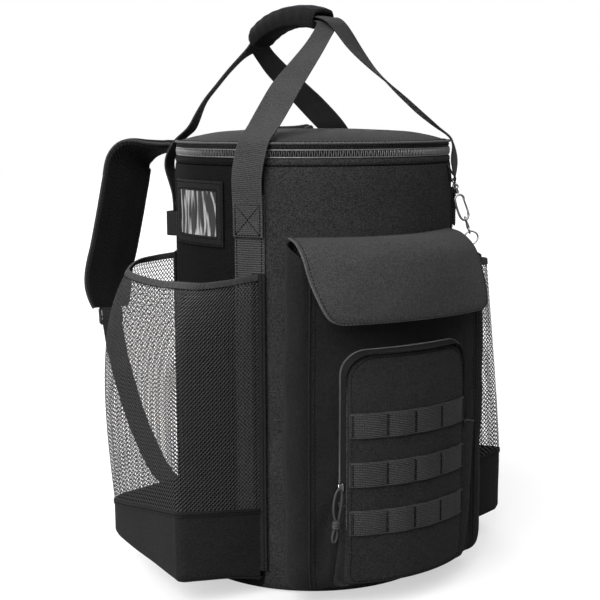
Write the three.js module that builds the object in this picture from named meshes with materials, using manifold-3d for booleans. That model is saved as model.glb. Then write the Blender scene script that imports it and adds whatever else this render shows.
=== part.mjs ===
// Round bucket backpack: a sewn cloth tub with a zipped lid, carry handles, a flapped
// front pocket with a zipped pocket on it, two net side pockets, padded shoulder straps
// and a snap clip. Millimetres, +Z up, the front faces -Y, origin at the middle of the base.

import * as THREE from 'three';
import { mergeVertices } from 'three/addons/utils/BufferGeometryUtils.js';
import Module from 'manifold-3d';

const wasm = await Module();
wasm.setup();

// Driving dimensions
const BODY_RADIUS = 155;
const MOUTH_RADIUS = 151.5;
const BODY_WALL = 3;
const BODY_TOP = 449;
const ROUND_STEPS = 60;
const GAP = 0.4;
const CLOTH = 2;
const WEB_THICKNESS = 1.6;
const WEB_WIDTH = 35.3;

const RIM_TOP = 457;
const ZIP_TOP = 466.7;
const LID_EDGE = 472;
const LID_CROWN = 486;
const ZIP_END_ANGLE = 122;

const ANCHOR_FRONT_ANGLE = 57.1;
const ANCHOR_BACK_ANGLE = 133;
const ANCHOR_BOTTOM = 26;
const ANCHOR_TOP = 420;
const ANCHOR_SEWN_LOW = 378;

const GRIP_LEFT_SHIFT = -16;
const GRIP_HALF_WIDTH = 15.5;
const GRIP_HALF_HEIGHT = 12;
const GRIP_HOLE_HALF_WIDTH = 12.5;
const GRIP_HOLE_HALF_HEIGHT = 5.6;

const POCKET_FACE_DEPTH = 181;
const POCKET_FACE_CURVE = 276;
const ZIP_FACE_DEPTH = 199;
const ZIP_FACE_CURVE = 165;
const ZIP_FACE_HALF = 72;
const ZIP_BACK_HALF = 76;
const ZIP_POCKET_LOW = 24;
const ZIP_POCKET_HIGH = 268;
const BAND_HEIGHT = 25.4;
const BAND_LOWS = [181, 130.5, 80.2];

const SIDE_SEAM_FRONT = 53.5;
const SIDE_SEAM_BACK = 124;
const SIDE_EDGE_HALF_ANGLE = 2.5;
const RIM_HEIGHT = 7;

const PAD_WIDTH = 60;
const PAD_THICKNESS = 11;
const STRAP_WEB_WIDTH = 25;

// Finishes
const finish = (color, roughness, metalness = 0) => ({ color, roughness, metalness });
const FABRIC = finish(0x2a2a2b, 0.85);
const DARK_FABRIC = finish(0x1a1a1b, 0.9);
const FLAP_FABRIC = finish(0x3d3d3e, 0.85);
const WEBBING = finish(0x48484a, 0.75);
const NET = finish(0x111112, 0.8);
const PADDING = finish(0x151516, 0.9);
const METAL = finish(0xb4b6ba, 0.25, 1);
const PLASTIC = finish(0x18181a, 0.4);
const CLEAR = finish(0x9a9c9e, 0.15);

const bag = new THREE.Group();

function addPiece(name, geometry, look, parent = bag) {
  const mesh = new THREE.Mesh(geometry, new THREE.MeshStandardMaterial(look));
  mesh.name = name;
  parent.add(mesh);
  return mesh;
}

const at = (x, y, z) => new THREE.Vector3(x, y, z);
const radians = THREE.MathUtils.degToRad;
const lerp = THREE.MathUtils.lerp;

// A point at an angle from the front (positive towards +X), a radius and a height
const polar = (angle, radius, z) =>
  at(radius * Math.sin(radians(angle)), -radius * Math.cos(radians(angle)), z);

const steps = (count, make) => Array.from({ length: count + 1 }, (_, i) => make(i / count, i));

function solidFrom(positions, triangles) {
  let volume = 0;
  for (const [a, b, c] of triangles) {
    volume += positions[a].dot(positions[b].clone().cross(positions[c]));
  }
  const facing = volume < 0 ? triangles.map(([a, b, c]) => [a, c, b]) : triangles;
  const geometry = new THREE.BufferGeometry().setFromPoints(positions);
  geometry.setIndex(facing.flat());
  return geometry;
}

// A closed wall between two grids of points, front[row][column] and back[row][column].
// With ring set, the columns run round a closed loop.
function wall(front, back, ring = false) {
  const rows = front.length;
  const columns = front[0].length;
  const positions = [...front.flat(), ...back.flat()];
  const half = rows * columns;
  const spans = ring ? columns : columns - 1;
  const triangles = [];
  const quad = (a, b, c, d) => triangles.push([a, b, c], [a, c, d]);
  const id = (layer, row, column) => layer * half + row * columns + (column % columns);
  for (let r = 0; r + 1 < rows; r++) {
    for (let c = 0; c < spans; c++) {
      quad(id(0, r, c), id(0, r, c + 1), id(0, r + 1, c + 1), id(0, r + 1, c));
      quad(id(1, r, c), id(1, r + 1, c), id(1, r + 1, c + 1), id(1, r, c + 1));
    }
  }
  for (let c = 0; c < spans; c++) {
    quad(id(0, 0, c), id(1, 0, c), id(1, 0, c + 1), id(0, 0, c + 1));
    const last = rows - 1;
    quad(id(0, last, c), id(0, last, c + 1), id(1, last, c + 1), id(1, last, c));
  }
  for (let r = 0; r + 1 < rows && !ring; r++) {
    quad(id(0, r, 0), id(0, r + 1, 0), id(1, r + 1, 0), id(1, r, 0));
    const last = columns - 1;
    quad(id(0, r, last), id(1, r, last), id(1, r + 1, last), id(0, r + 1, last));
  }
  return solidFrom(positions, triangles);
}

// A closed skin over loops of points that share one count, with flat fans on both ends
// or, with closed set, joined round into a ring
function skin(loops, closed = false) {
  const count = loops[0].length;
  const positions = loops.flat();
  const triangles = [];
  const id = (loop, i) => (loop % loops.length) * count + (i % count);
  const spans = closed ? loops.length : loops.length - 1;
  for (let l = 0; l < spans; l++) {
    for (let i = 0; i < count; i++) {
      triangles.push([id(l, i), id(l, i + 1), id(l + 1, i + 1)]);
      triangles.push([id(l, i), id(l + 1, i + 1), id(l + 1, i)]);
    }
  }
  if (!closed) {
    for (let i = 1; i + 1 < count; i++) {
      triangles.push([id(0, 0), id(0, i + 1), id(0, i)]);
      const last = loops.length - 1;
      triangles.push([id(last, 0), id(last, i), id(last, i + 1)]);
    }
  }
  return solidFrom(positions, triangles);
}

// Direction of travel and squared-up across and normal directions along a route
function routeFrames(points, across, closed = false) {
  const count = points.length;
  return points.map((point, i) => {
    const before = closed ? points[(i + count - 1) % count] : points[Math.max(i - 1, 0)];
    const after = closed ? points[(i + 1) % count] : points[Math.min(i + 1, count - 1)];
    const along = after.clone().sub(before).normalize();
    const wide = across[i].clone().addScaledVector(along, -across[i].dot(along)).normalize();
    return { point, along, wide, normal: along.clone().cross(wide) };
  });
}

// A flat strap through stations with a place, an across direction, a width and a thickness
function strap(stations) {
  const frames = routeFrames(stations.map((s) => s.place), stations.map((s) => s.across));
  const loops = frames.map(({ point, wide, normal }, i) => {
    const corner = (a, b) => point.clone()
      .addScaledVector(wide, a * stations[i].width / 2)
      .addScaledVector(normal, b * stations[i].thickness / 2);
    return [corner(-1, -1), corner(1, -1), corner(1, 1), corner(-1, 1)];
  });
  return skin(loops);
}

// A round wire bent through points, closed into a ring or left open
function wire(points, radius, sides, reference, closed = false) {
  const frames = routeFrames(points, points.map(() => reference), closed);
  const loops = frames.map(({ point, wide, normal }) => steps(sides - 1, (_, i) => {
    const turn = (2 * Math.PI * i) / sides;
    return point.clone()
      .addScaledVector(wide, radius * Math.cos(turn))
      .addScaledVector(normal, radius * Math.sin(turn));
  }));
  return skin(loops, closed);
}

// A ring turned about the upright axis from a profile of radius and height pairs
function turned(profile, segments = ROUND_STEPS) {
  const points = profile.map(([radius, z]) => new THREE.Vector2(radius, z));
  return new THREE.LatheGeometry(points, segments).rotateX(Math.PI / 2);
}

const closedProfile = (profile) => [...profile, profile[0]];

// A curved panel on the tub between two angles and two heights
function panel(fromAngle, toAngle, low, high, inner, thickness, columns) {
  const layer = (radius) => [low, high].map((z) =>
    steps(columns, (t) => polar(lerp(fromAngle, toAngle, t), radius, z)));
  return wall(layer(inner + thickness), layer(inner));
}

function toManifold(geometry) {
  const clean = geometry.clone();
  clean.deleteAttribute('normal');
  clean.deleteAttribute('uv');
  const merged = mergeVertices(clean, 1e-4);
  const mesh = new wasm.Mesh({
    numProp: 3,
    vertProperties: new Float32Array(merged.attributes.position.array),
    triVerts: new Uint32Array(merged.index.array),
  });
  return new wasm.Manifold(mesh);
}

function fused(...geometries) {
  const whole = geometries.map(toManifold).reduce((sum, next) => sum.add(next));
  const mesh = whole.getMesh();
  const geometry = new THREE.BufferGeometry();
  geometry.setAttribute('position', new THREE.BufferAttribute(mesh.vertProperties, 3));
  geometry.setIndex(new THREE.BufferAttribute(mesh.triVerts, 1));
  return geometry;
}

// Base: a round padded panel whose edge turns up to the wall that is sewn to it
const BASE_TOP = 17;
const BASE_PROFILE = [
  { z: 0, radius: 141 },
  { z: 3, radius: 147.5 },
  { z: 14, radius: 152.3 },
  { z: BASE_TOP, radius: 152.5 },
];
const baseOuter = BASE_PROFILE.map((row) => [row.radius, row.z]);
const baseInner = BASE_PROFILE.slice(1, 3).reverse().map((row) => [
  row.radius - BODY_WALL,
  row.z + BODY_WALL,
]);
addPiece('base_panel', turned([[0, 0], ...baseOuter, ...baseInner, [0, BODY_WALL]]), FABRIC);

// Tub: the round wall, a little narrower where it meets the base
const TUB_PROFILE = [
  { z: BASE_TOP + GAP, radius: 152.6 },
  { z: 48, radius: 154.4 },
  { z: 95, radius: BODY_RADIUS },
  { z: 434, radius: BODY_RADIUS },
  { z: BODY_TOP, radius: MOUTH_RADIUS + 1.7 },
];
const tubOuter = TUB_PROFILE.map((row) => [row.radius, row.z]);
const tubInner = TUB_PROFILE.slice().reverse().map((row) => [row.radius - BODY_WALL, row.z]);
addPiece('body_tub', turned(closedProfile([...tubOuter, ...tubInner])), FABRIC);

// Cloth band round the mouth, the zip above it, and the plain hinge cloth at the back
addPiece('rim_band', turned(closedProfile([
  [MOUTH_RADIUS - BODY_WALL, BODY_TOP + GAP],
  [MOUTH_RADIUS + 0.6, BODY_TOP + GAP],
  [MOUTH_RADIUS + 1.2, (BODY_TOP + RIM_TOP) / 2],
  [MOUTH_RADIUS + 0.4, RIM_TOP],
  [MOUTH_RADIUS - BODY_WALL, RIM_TOP],
])), FABRIC);
addPiece('lid_zipper', panel(
  -ZIP_END_ANGLE, ZIP_END_ANGLE, RIM_TOP + GAP, ZIP_TOP, MOUTH_RADIUS - 1.6, WEB_THICKNESS, 40,
), PLASTIC);
addPiece('lid_hinge', panel(
  ZIP_END_ANGLE + 0.3, 360 - ZIP_END_ANGLE - 0.3, RIM_TOP + GAP, ZIP_TOP, MOUTH_RADIUS - 2, CLOTH, 20,
), FABRIC);

// Lid: a domed top with a short skirt, and a piped edge that stands round it
const LID_DOME = [
  { radius: 60, drop: 0.9 },
  { radius: 104, drop: 3.4 },
  { radius: 131, drop: 7.6 },
  { radius: 143.5, drop: 11.6 },
];
const lidOuter = [
  [0, LID_CROWN],
  ...LID_DOME.map((row) => [row.radius, LID_CROWN - row.drop]),
  [MOUTH_RADIUS, LID_EDGE + 1.2],
  [MOUTH_RADIUS, ZIP_TOP + GAP],
];
const lidInner = [
  [MOUTH_RADIUS - BODY_WALL, ZIP_TOP + GAP],
  [MOUTH_RADIUS - BODY_WALL, LID_EDGE - BODY_WALL],
  ...LID_DOME.toReversed().map((row) => [row.radius - 2, LID_CROWN - row.drop - BODY_WALL]),
  [0, LID_CROWN - BODY_WALL],
];
addPiece('lid', turned([...lidOuter, ...lidInner].reverse()), FABRIC);
addPiece('lid_piping', turned(closedProfile([
  [MOUTH_RADIUS + 0.3, LID_EDGE - 1],
  [MOUTH_RADIUS + 2.4, LID_EDGE - 0.6],
  [MOUTH_RADIUS + 2.4, LID_EDGE + 1],
  [MOUTH_RADIUS + 0.3, LID_EDGE + 1.4],
])), FABRIC);

const SLIDER_ANGLE = 112;
addPiece('lid_slider', panel(
  SLIDER_ANGLE - 2.4, SLIDER_ANGLE + 2.4, RIM_TOP + 0.8, ZIP_TOP - 0.4, MOUTH_RADIUS + GAP, 3, 2,
), METAL);

// Upright webbing strips, sewn on from the base to the handle ends
const SIDES = [
  { side: 'left', sign: -1 },
  { side: 'right', sign: 1 },
];
const stripHalfAngle = THREE.MathUtils.radToDeg(WEB_WIDTH / 2 / BODY_RADIUS);
for (const { side, sign } of SIDES) {
  for (const [end, angle] of [['front', ANCHOR_FRONT_ANGLE], ['back', ANCHOR_BACK_ANGLE]]) {
    const centre = sign * angle;
    addPiece(`anchor_strip_${end}_${side}`, panel(
      centre - stripHalfAngle, centre + stripHalfAngle,
      ANCHOR_BOTTOM, ANCHOR_TOP, BODY_RADIUS + GAP, WEB_THICKNESS, 3,
    ), WEBBING);
  }
}

// Carry handles: each is one webbing loop, sewn to a front and a back strip, that bows out
// past the lid and folds narrower where it runs through the grip
const HANDLE_LOW = {
  front: [
    { turn: 0, radius: 158.4, z: ANCHOR_SEWN_LOW },
    { turn: 0, radius: 158.4, z: 412 },
    { turn: 0, radius: 160.8, z: 428 },
    { turn: 0.3, radius: 162, z: 441 },
    { turn: 0.8, radius: 160.4, z: 453 },
    { turn: 1.4, radius: 158.2, z: 464 },
    { turn: 1.8, radius: 157, z: 470.5 },
    { turn: 2.1, radius: 155.6, z: 475 },
    { turn: 2.4, radius: 150.8, z: 479.4 },
    { turn: 2.6, radius: 143, z: 483 },
  ],
  back: [
    { turn: 0, radius: 158.4, z: ANCHOR_SEWN_LOW },
    { turn: 0, radius: 158.4, z: 410 },
    { turn: 0, radius: 163, z: 426 },
    { turn: 0.3, radius: 168.6, z: 441 },
    { turn: 0.8, radius: 168, z: 453 },
    { turn: 1.4, radius: 163.4, z: 464 },
    { turn: 1.8, radius: 159, z: 470.5 },
    { turn: 2.1, radius: 155.8, z: 475 },
    { turn: 2.4, radius: 150.8, z: 479.4 },
    { turn: 2.6, radius: 143, z: 483 },
  ],
};
const GRIP_LINE = [
  { y: -45, z: 601.5 },
  { y: -16, z: 606.5 },
  { y: 16, z: 607.5 },
  { y: 46, z: 604 },
  { y: 70, z: 597 },
  { y: 90, z: 587.5 },
];
const HANDLE_RUN = {
  left: {
    level: -2.3,
    front: [
      { x: -83, y: -77, z: 528, width: 31.5, twist: 43 },
      { x: -41.5, y: -66, z: 569, width: 22, twist: 41 },
      { x: -23, y: -59, z: 589, width: 20, twist: 41 },
    ],
    back: [
      { x: -27, y: 101, z: 574, width: 22, twist: 41 },
      { x: -48, y: 104, z: 553, width: 28, twist: 43 },
      { x: -80, y: 104, z: 518, width: 34, twist: 46 },
    ],
  },
  right: {
    level: 2.3,
    front: [
      { x: 93.2, y: -79.5, z: 499.7, width: 35, twist: 62 },
      { x: 62.4, y: -76, z: 524, width: 34, twist: 59 },
      { x: 33.9, y: -72.5, z: 547.1, width: 30, twist: 46 },
      { x: 18.1, y: -70, z: 562.6, width: 27, twist: 33 },
      { x: 4, y: -67.5, z: 578, width: 24, twist: 19 },
      { x: -4.5, y: -64.5, z: 591, width: 20.5, twist: 8 },
      { x: -11.5, y: -60, z: 600.5, width: 20, twist: 0 },
    ],
    back: [
      { x: -5, y: 102, z: 575, width: 22, twist: 41 },
      { x: 16, y: 105, z: 555, width: 28, twist: 43 },
      { x: 62, y: 105, z: 518, width: 34, twist: 46 },
    ],
  },
};
const FOLDED_WIDTH = 20;
const FOLDED_THICKNESS = 2.4;
function handleStations(side, sign) {
  const { level, front, back } = HANDLE_RUN[side];
  const sewn = (rows, angle, towards) => rows.map((row) => {
    const turn = sign * (angle + towards * row.turn);
    return {
      place: polar(turn, row.radius, row.z),
      across: at(Math.cos(radians(turn)), Math.sin(radians(turn)), 0).multiplyScalar(towards),
      width: WEB_WIDTH,
      thickness: WEB_THICKNESS + 0.2,
    };
  });
  const run = (rows, towards) => rows.map((row) => ({
    place: at(row.x, row.y, row.z),
    across: at(-Math.cos(radians(row.twist)), sign * towards * Math.sin(radians(row.twist)), 0),
    width: row.width,
    thickness: 2,
  }));
  const beyond = (row, next) => ({ y: 1.35 * row.y - 0.35 * next.y, z: 1.35 * row.z - 0.35 * next.z });
  const line = [beyond(GRIP_LINE[0], GRIP_LINE[1]), ...GRIP_LINE, beyond(GRIP_LINE.at(-1), GRIP_LINE.at(-2))];
  const inGrip = line.map((row) => ({
    place: at(GRIP_LEFT_SHIFT, row.y, row.z + level),
    across: at(-1, 0, 0),
    width: FOLDED_WIDTH,
    thickness: FOLDED_THICKNESS,
  }));
  return [
    ...sewn(HANDLE_LOW.front, ANCHOR_FRONT_ANGLE, -1),
    ...run(front, -1),
    ...inGrip,
    ...run(back, 1),
    ...sewn(HANDLE_LOW.back, ANCHOR_BACK_ANGLE, 1).reverse(),
  ];
}
for (const { side, sign } of SIDES) {
  addPiece(`handle_strap_${side}`, strap(handleStations(side, sign)), WEBBING);
}

// Grip: a padded sleeve round both handle loops
const gripRing = (halfWidth, halfHeight) => {
  const sides = 12;
  const centres = GRIP_LINE.map((row) => at(GRIP_LEFT_SHIFT, row.y, row.z));
  return routeFrames(centres, centres.map(() => at(1, 0, 0))).map(({ point, wide, normal }) =>
    steps(sides - 1, (_, i) => {
      const turn = (2 * Math.PI * (i + 0.5)) / sides;
      const square = 1 / Math.max(Math.abs(Math.cos(turn)), Math.abs(Math.sin(turn))) ** 0.35;
      return point.clone()
        .addScaledVector(wide, halfWidth * Math.cos(turn) * square)
        .addScaledVector(normal, halfHeight * Math.sin(turn) * square);
    }));
};
addPiece('handle_grip', wall(
  gripRing(GRIP_HALF_WIDTH, GRIP_HALF_HEIGHT),
  gripRing(GRIP_HOLE_HALF_WIDTH, GRIP_HOLE_HALF_HEIGHT),
  true,
), PADDING);

// Front pocket: a hollow boxed pocket whose side gussets bulge, open at the top
const pocketFaceY = (x) =>
  POCKET_FACE_CURVE - POCKET_FACE_DEPTH - Math.sqrt(POCKET_FACE_CURVE ** 2 - x ** 2);
const POCKET_SEAM_X = 108;
const GUSSET = [
  { x: 103.5, y: -117 },
  { x: 118, y: -129 },
  { x: 125, y: -144 },
  { x: 120, y: -155 },
];
const FACE_COLUMNS = [POCKET_SEAM_X, 72, 36, 0];
const pocketHalf = [
  ...GUSSET.map((p) => ({ ...p, lift: 0 })),
  ...FACE_COLUMNS.map((x) => ({ x, y: pocketFaceY(x), lift: 0 })),
];
const TOP_LIFT = [20, 12, 6, 2, 0, 0, 0, 0];
const pocketLine = [
  ...pocketHalf.map((p, i) => ({ x: -p.x, y: p.y, lift: TOP_LIFT[i] })),
  ...pocketHalf.slice(0, -1).map((p, i) => ({ ...p, lift: TOP_LIFT[i] })).reverse(),
];
const POCKET_ROWS = [
  { z: 20, inset: 10 },
  { z: 24, inset: 4 },
  { z: 36, inset: 0 },
  { z: 130, inset: 0 },
  { z: 240, inset: 0 },
  { z: 345, inset: 3 },
];
const POCKET_FLOOR = 17;
const POCKET_FLOOR_RADIUS = 156;
// A point on the pocket's plan line, drawn in towards the middle of the pocket
function drawnIn(point, inset, z) {
  const heart = at(0, -100, 0);
  const out = at(point.x, point.y, 0).sub(heart);
  const length = out.length();
  return out.multiplyScalar((length - inset) / length).add(heart).setZ(z);
}
function pocketLayer(inset, rise) {
  const floor = pocketLine.map((p) => {
    const angle = THREE.MathUtils.radToDeg(Math.atan2(p.x, -p.y));
    return polar(angle * (1 - 0.01 * inset), POCKET_FLOOR_RADIUS, POCKET_FLOOR + rise);
  });
  const sides = POCKET_ROWS.map((row, r) => pocketLine.map((p, i) => {
    const atBody = i === 0 || i === pocketLine.length - 1;
    const lift = r === POCKET_ROWS.length - 1 ? p.lift : 0;
    const z = row.z + lift + (r === 0 ? rise : 0);
    return atBody
      ? at(p.x - Math.sign(p.x) * inset, p.y - 0.4 * inset, z)
      : drawnIn(p, row.inset + inset, z);
  }));
  return [floor, ...sides];
}
addPiece('front_pocket', wall(pocketLayer(0, 0), pocketLayer(CLOTH, CLOTH)), FABRIC);

// Flap: one shaped sheet hinged on the tub, swelling out over the pocket, with round corners
const FLAP_ROWS = [
  { edgeX: 105, edgeY: -118.5, edgeZ: 379, midY: -157.8, midZ: 379 },
  { edgeX: 109, edgeY: -138, edgeZ: 374.5, midY: -177, midZ: 376 },
  { edgeX: 112, edgeY: -156, edgeZ: 361, midY: -192, midZ: 364 },
  { edgeX: 112, edgeY: -167, edgeZ: 342, midY: -200, midZ: 344 },
  { edgeX: 108.5, edgeY: -178, edgeZ: 322, midY: -204.5, midZ: 322 },
  { edgeX: 104, edgeY: -185, edgeZ: 308.5, midY: -206, midZ: 307 },
  { edgeX: 98.5, edgeY: -188.5, edgeZ: 302.5, midY: -206, midZ: 302 },
  { edgeX: 90, edgeY: -191.5, edgeZ: 299.5, midY: -205.6, midZ: 299 },
];
const FLAP_COLUMNS = 12;
const flapLayer = (inset) => FLAP_ROWS.map((row, r) => steps(FLAP_COLUMNS, (t) => {
  const across = 2 * t - 1;
  const bend = across ** 2;
  const flat = r / (FLAP_ROWS.length - 1);
  return at(
    across * row.edgeX,
    lerp(row.midY, row.edgeY, bend) + inset * (0.35 + 0.65 * flat),
    lerp(row.midZ, row.edgeZ, bend) - inset * (1 - flat),
  );
}));
addPiece('front_flap', wall(flapLayer(0), flapLayer(CLOTH)), FLAP_FABRIC);

// Zipped pocket: a shallow tray with a curved face, open towards the front pocket
const zipFaceY = (x) => ZIP_FACE_CURVE - ZIP_FACE_DEPTH - Math.sqrt(ZIP_FACE_CURVE ** 2 - x ** 2);
const zipMiddleZ = (ZIP_POCKET_LOW + ZIP_POCKET_HIGH) / 2;
const zipHalfHeight = (ZIP_POCKET_HIGH - ZIP_POCKET_LOW) / 2;
const TOP_CORNER = 34;
const LOW_CORNER = 14;
// The pocket's outline as a loop of x and z, anticlockwise from the lower right corner
function zipOutline(halfWidth, halfHeight, shrink) {
  const corners = [
    { x: 1, z: -1, radius: LOW_CORNER, from: -90 },
    { x: 1, z: 1, radius: TOP_CORNER, from: 0 },
    { x: -1, z: 1, radius: TOP_CORNER, from: 90 },
    { x: -1, z: -1, radius: LOW_CORNER, from: 180 },
  ];
  const round = corners.flatMap(({ x, z, radius, from }) => steps(3, (t) => {
    const turn = radians(from + 90 * t);
    return {
      x: x * (halfWidth - radius) + radius * Math.cos(turn),
      z: z * (halfHeight - radius) + radius * Math.sin(turn),
    };
  }));
  const edges = round.flatMap((p, i) => {
    const next = round[(i + 1) % round.length];
    const long = Math.hypot(next.x - p.x, next.z - p.z) > 40;
    const inner = long ? [1, 2, 3].map((k) => ({
      x: lerp(p.x, next.x, k / 4), z: lerp(p.z, next.z, k / 4),
    })) : [];
    return [p, ...inner];
  });
  return edges.map((p) => ({ x: p.x * shrink, z: zipMiddleZ + p.z * shrink }));
}
const ZIP_BACK_GAP = 0.8;
function zipTray(thickness) {
  const back = zipOutline(ZIP_BACK_HALF - thickness, zipHalfHeight - thickness, 1)
    .map(({ x, z }) => at(x, pocketFaceY(x) - ZIP_BACK_GAP, z));
  const face = (shrink) => zipOutline(ZIP_FACE_HALF - thickness, zipHalfHeight - 3 - thickness, shrink)
    .map(({ x, z }) => at(x, zipFaceY(x) + thickness, z));
  return [back, face(1), face(0.72), face(0.36), face(0.02)];
}
// The tray's skin is closed over its small middle loop on both faces
function tray(outer, inner) {
  const loops = [...outer.toReversed(), ...inner];
  return skin(loops);
}
addPiece('zip_pocket', tray(zipTray(0), zipTray(CLOTH)), FABRIC);

// Zip round the pocket's left side, top and right side, standing on the tray's gusset
const ZIP_LEFT_END = 125;
const ZIP_RIGHT_END = 170;
function zipTapeLoops() {
  const rim = (half, height, lift) => zipOutline(half + lift, height + lift, 1);
  const outerBack = rim(ZIP_BACK_HALF, zipHalfHeight, 1.6);
  const keep = outerBack
    .map((p, i) => ({ p, i }))
    .filter(({ p }) => (p.x > 0 ? p.z > ZIP_RIGHT_END : p.z > ZIP_LEFT_END))
    .map(({ i }) => i);
  const lay = (lift) => {
    const back = rim(ZIP_BACK_HALF, zipHalfHeight, lift);
    const front = rim(ZIP_FACE_HALF, zipHalfHeight - 3, lift);
    return [0.12, 0.88].map((share) => keep.map((i) => {
      const depth = lerp(pocketFaceY(back[i].x) - ZIP_BACK_GAP, zipFaceY(front[i].x), share);
      return at(lerp(back[i].x, front[i].x, share), depth, lerp(back[i].z, front[i].z, share));
    }));
  };
  return wall(lay(1.9), lay(0.7));
}
addPiece('zip_pocket_zipper', zipTapeLoops(), PLASTIC);

// Three rows of ladder webbing sewn across the zipped pocket's face
BAND_LOWS.forEach((low, i) => {
  const bandHalf = ZIP_FACE_HALF - 1.5;
  const layer = (proud) => [low, low + BAND_HEIGHT].map((z) => steps(12, (t) => {
    const x = lerp(-bandHalf, bandHalf, t);
    return at(x, zipFaceY(x) - proud, z);
  }));
  addPiece(`webbing_band_${i + 1}`, wall(layer(GAP + WEB_THICKNESS), layer(GAP)), WEBBING);
});

// Zip slider at the left end of the pocket's zip, with a knotted cord pull
const SLIDER_PLACE = at(-80.6, -176, 131);
addPiece('zip_slider', fused(
  new THREE.BoxGeometry(3, 6, 9).translate(0, 0, 0),
  new THREE.BoxGeometry(4.4, 2.2, 5.5).translate(-2.4, 0, 0.4),
), METAL).position.copy(SLIDER_PLACE);
const PULL_RADIUS = 1.2;
const PULL_ROUTE = [
  { x: -82.2, y: -180.6, z: 100 },
  { x: -81.6, y: -181, z: 112 },
  { x: -81.8, y: -181, z: 122 },
  { x: -83.4, y: -181, z: 129 },
  { x: -87.2, y: -181.2, z: 131 },
  { x: -90.4, y: -181.4, z: 126 },
  { x: -91, y: -181.4, z: 116 },
  { x: -89, y: -180.8, z: 106 },
  { x: -86.4, y: -180.6, z: 100 },
];
addPiece('zip_pull_cord', wire(
  PULL_ROUTE.map((p) => at(p.x, p.y, p.z)), PULL_RADIUS, 8, at(0, 1, 0),
), FABRIC);
const KNOT = at(-84.3, -180.6, 94.6);
const tailLoop = wire([
  at(-86, -180.6, 92), at(-87.2, -180.6, 84), at(-86, -180.6, 77.4),
  at(-82.8, -180.6, 77.2), at(-81.6, -180.6, 84), at(-82.6, -180.6, 92),
], PULL_RADIUS, 8, at(0, 1, 0));
const knotBall = new THREE.SphereGeometry(4.8, 10, 8).scale(1, 0.75, 1.02).translate(KNOT.x, KNOT.y, KNOT.z);
addPiece('zip_pull_knot', fused(knotBall, tailLoop), FABRIC);

// Net side pockets: a cloth tub below, net walls, a bound elastic rim and taped seams.
// Each row is a place on the pocket's plan line, from the front seam round to the back seam.
const SIDE_LINE = [
  { x: 129.8, y: -96.2, rimX: 129.8, rimY: -96.2, low: 17, border: 93, rim: 341 },
  { x: 163, y: -92.5, rimX: 157, rimY: -91, low: 24, border: 97, rim: 337.5 },
  { x: 195, y: -87.5, rimX: 182, rimY: -85, low: 29, border: 100, rim: 335 },
  { x: 208, y: -81, rimX: 192, rimY: -79, low: 30, border: 101, rim: 334 },
  { x: 215, y: -67, rimX: 196.5, rimY: -65, low: 30, border: 99, rim: 334 },
  { x: 218.5, y: -20, rimX: 198.5, rimY: -20, low: 30, border: 90, rim: 334.5 },
  { x: 218.5, y: 28, rimX: 198.5, rimY: 24, low: 30, border: 80, rim: 336 },
  { x: 216, y: 78, rimX: 196, rimY: 58, low: 30, border: 70, rim: 338.5 },
  { x: 210, y: 89, rimX: 190, rimY: 73, low: 30, border: 69, rim: 340.5 },
  { x: 197, y: 94, rimX: 178, rimY: 83, low: 28, border: 70, rim: 342.5 },
  { x: 162, y: 92, rimX: 154, rimY: 89.5, low: 23, border: 74, rim: 345 },
  { x: 133.5, y: 90, rimX: 133.5, rimY: 90, low: 17, border: 78, rim: 347 },
];
// How far up the wall starts to lean in, how far its rim is drawn past the table's, and how
// far the wall swells out half way up
const SIDE_LEAN = {
  left: { power: 7, draw: 0, belly: 7 },
  right: { power: 1.5, draw: 8, belly: 0 },
};
const NET_ROWS = [0, 0.3, 0.6, 0.8, 0.92, 1];
function sidePoint(row, i, z, inset, lean, sign) {
  const last = SIDE_LINE.length - 1;
  const height = THREE.MathUtils.clamp((z - row.border) / (row.rim - row.border), 0, 1);
  const share = height ** lean.power;
  const middle = Math.sin((Math.PI * i) / last);
  const swell = lean.belly * middle * Math.sin(Math.PI * height);
  const x = lerp(row.x, row.rimX - lean.draw * middle, share) + swell;
  const y = lerp(row.y, row.rimY, share) + (swell * row.y) / 95;
  const before = SIDE_LINE[Math.max(i - 1, 0)];
  const after = SIDE_LINE[Math.min(i + 1, last)];
  const along = at(after.x - before.x, after.y - before.y, 0).normalize();
  return at(sign * (x - along.y * inset), y + along.x * inset, z);
}
const SIDE_FLOOR_RADIUS = 156.2;
const NET_THICKNESS = 1.2;
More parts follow.
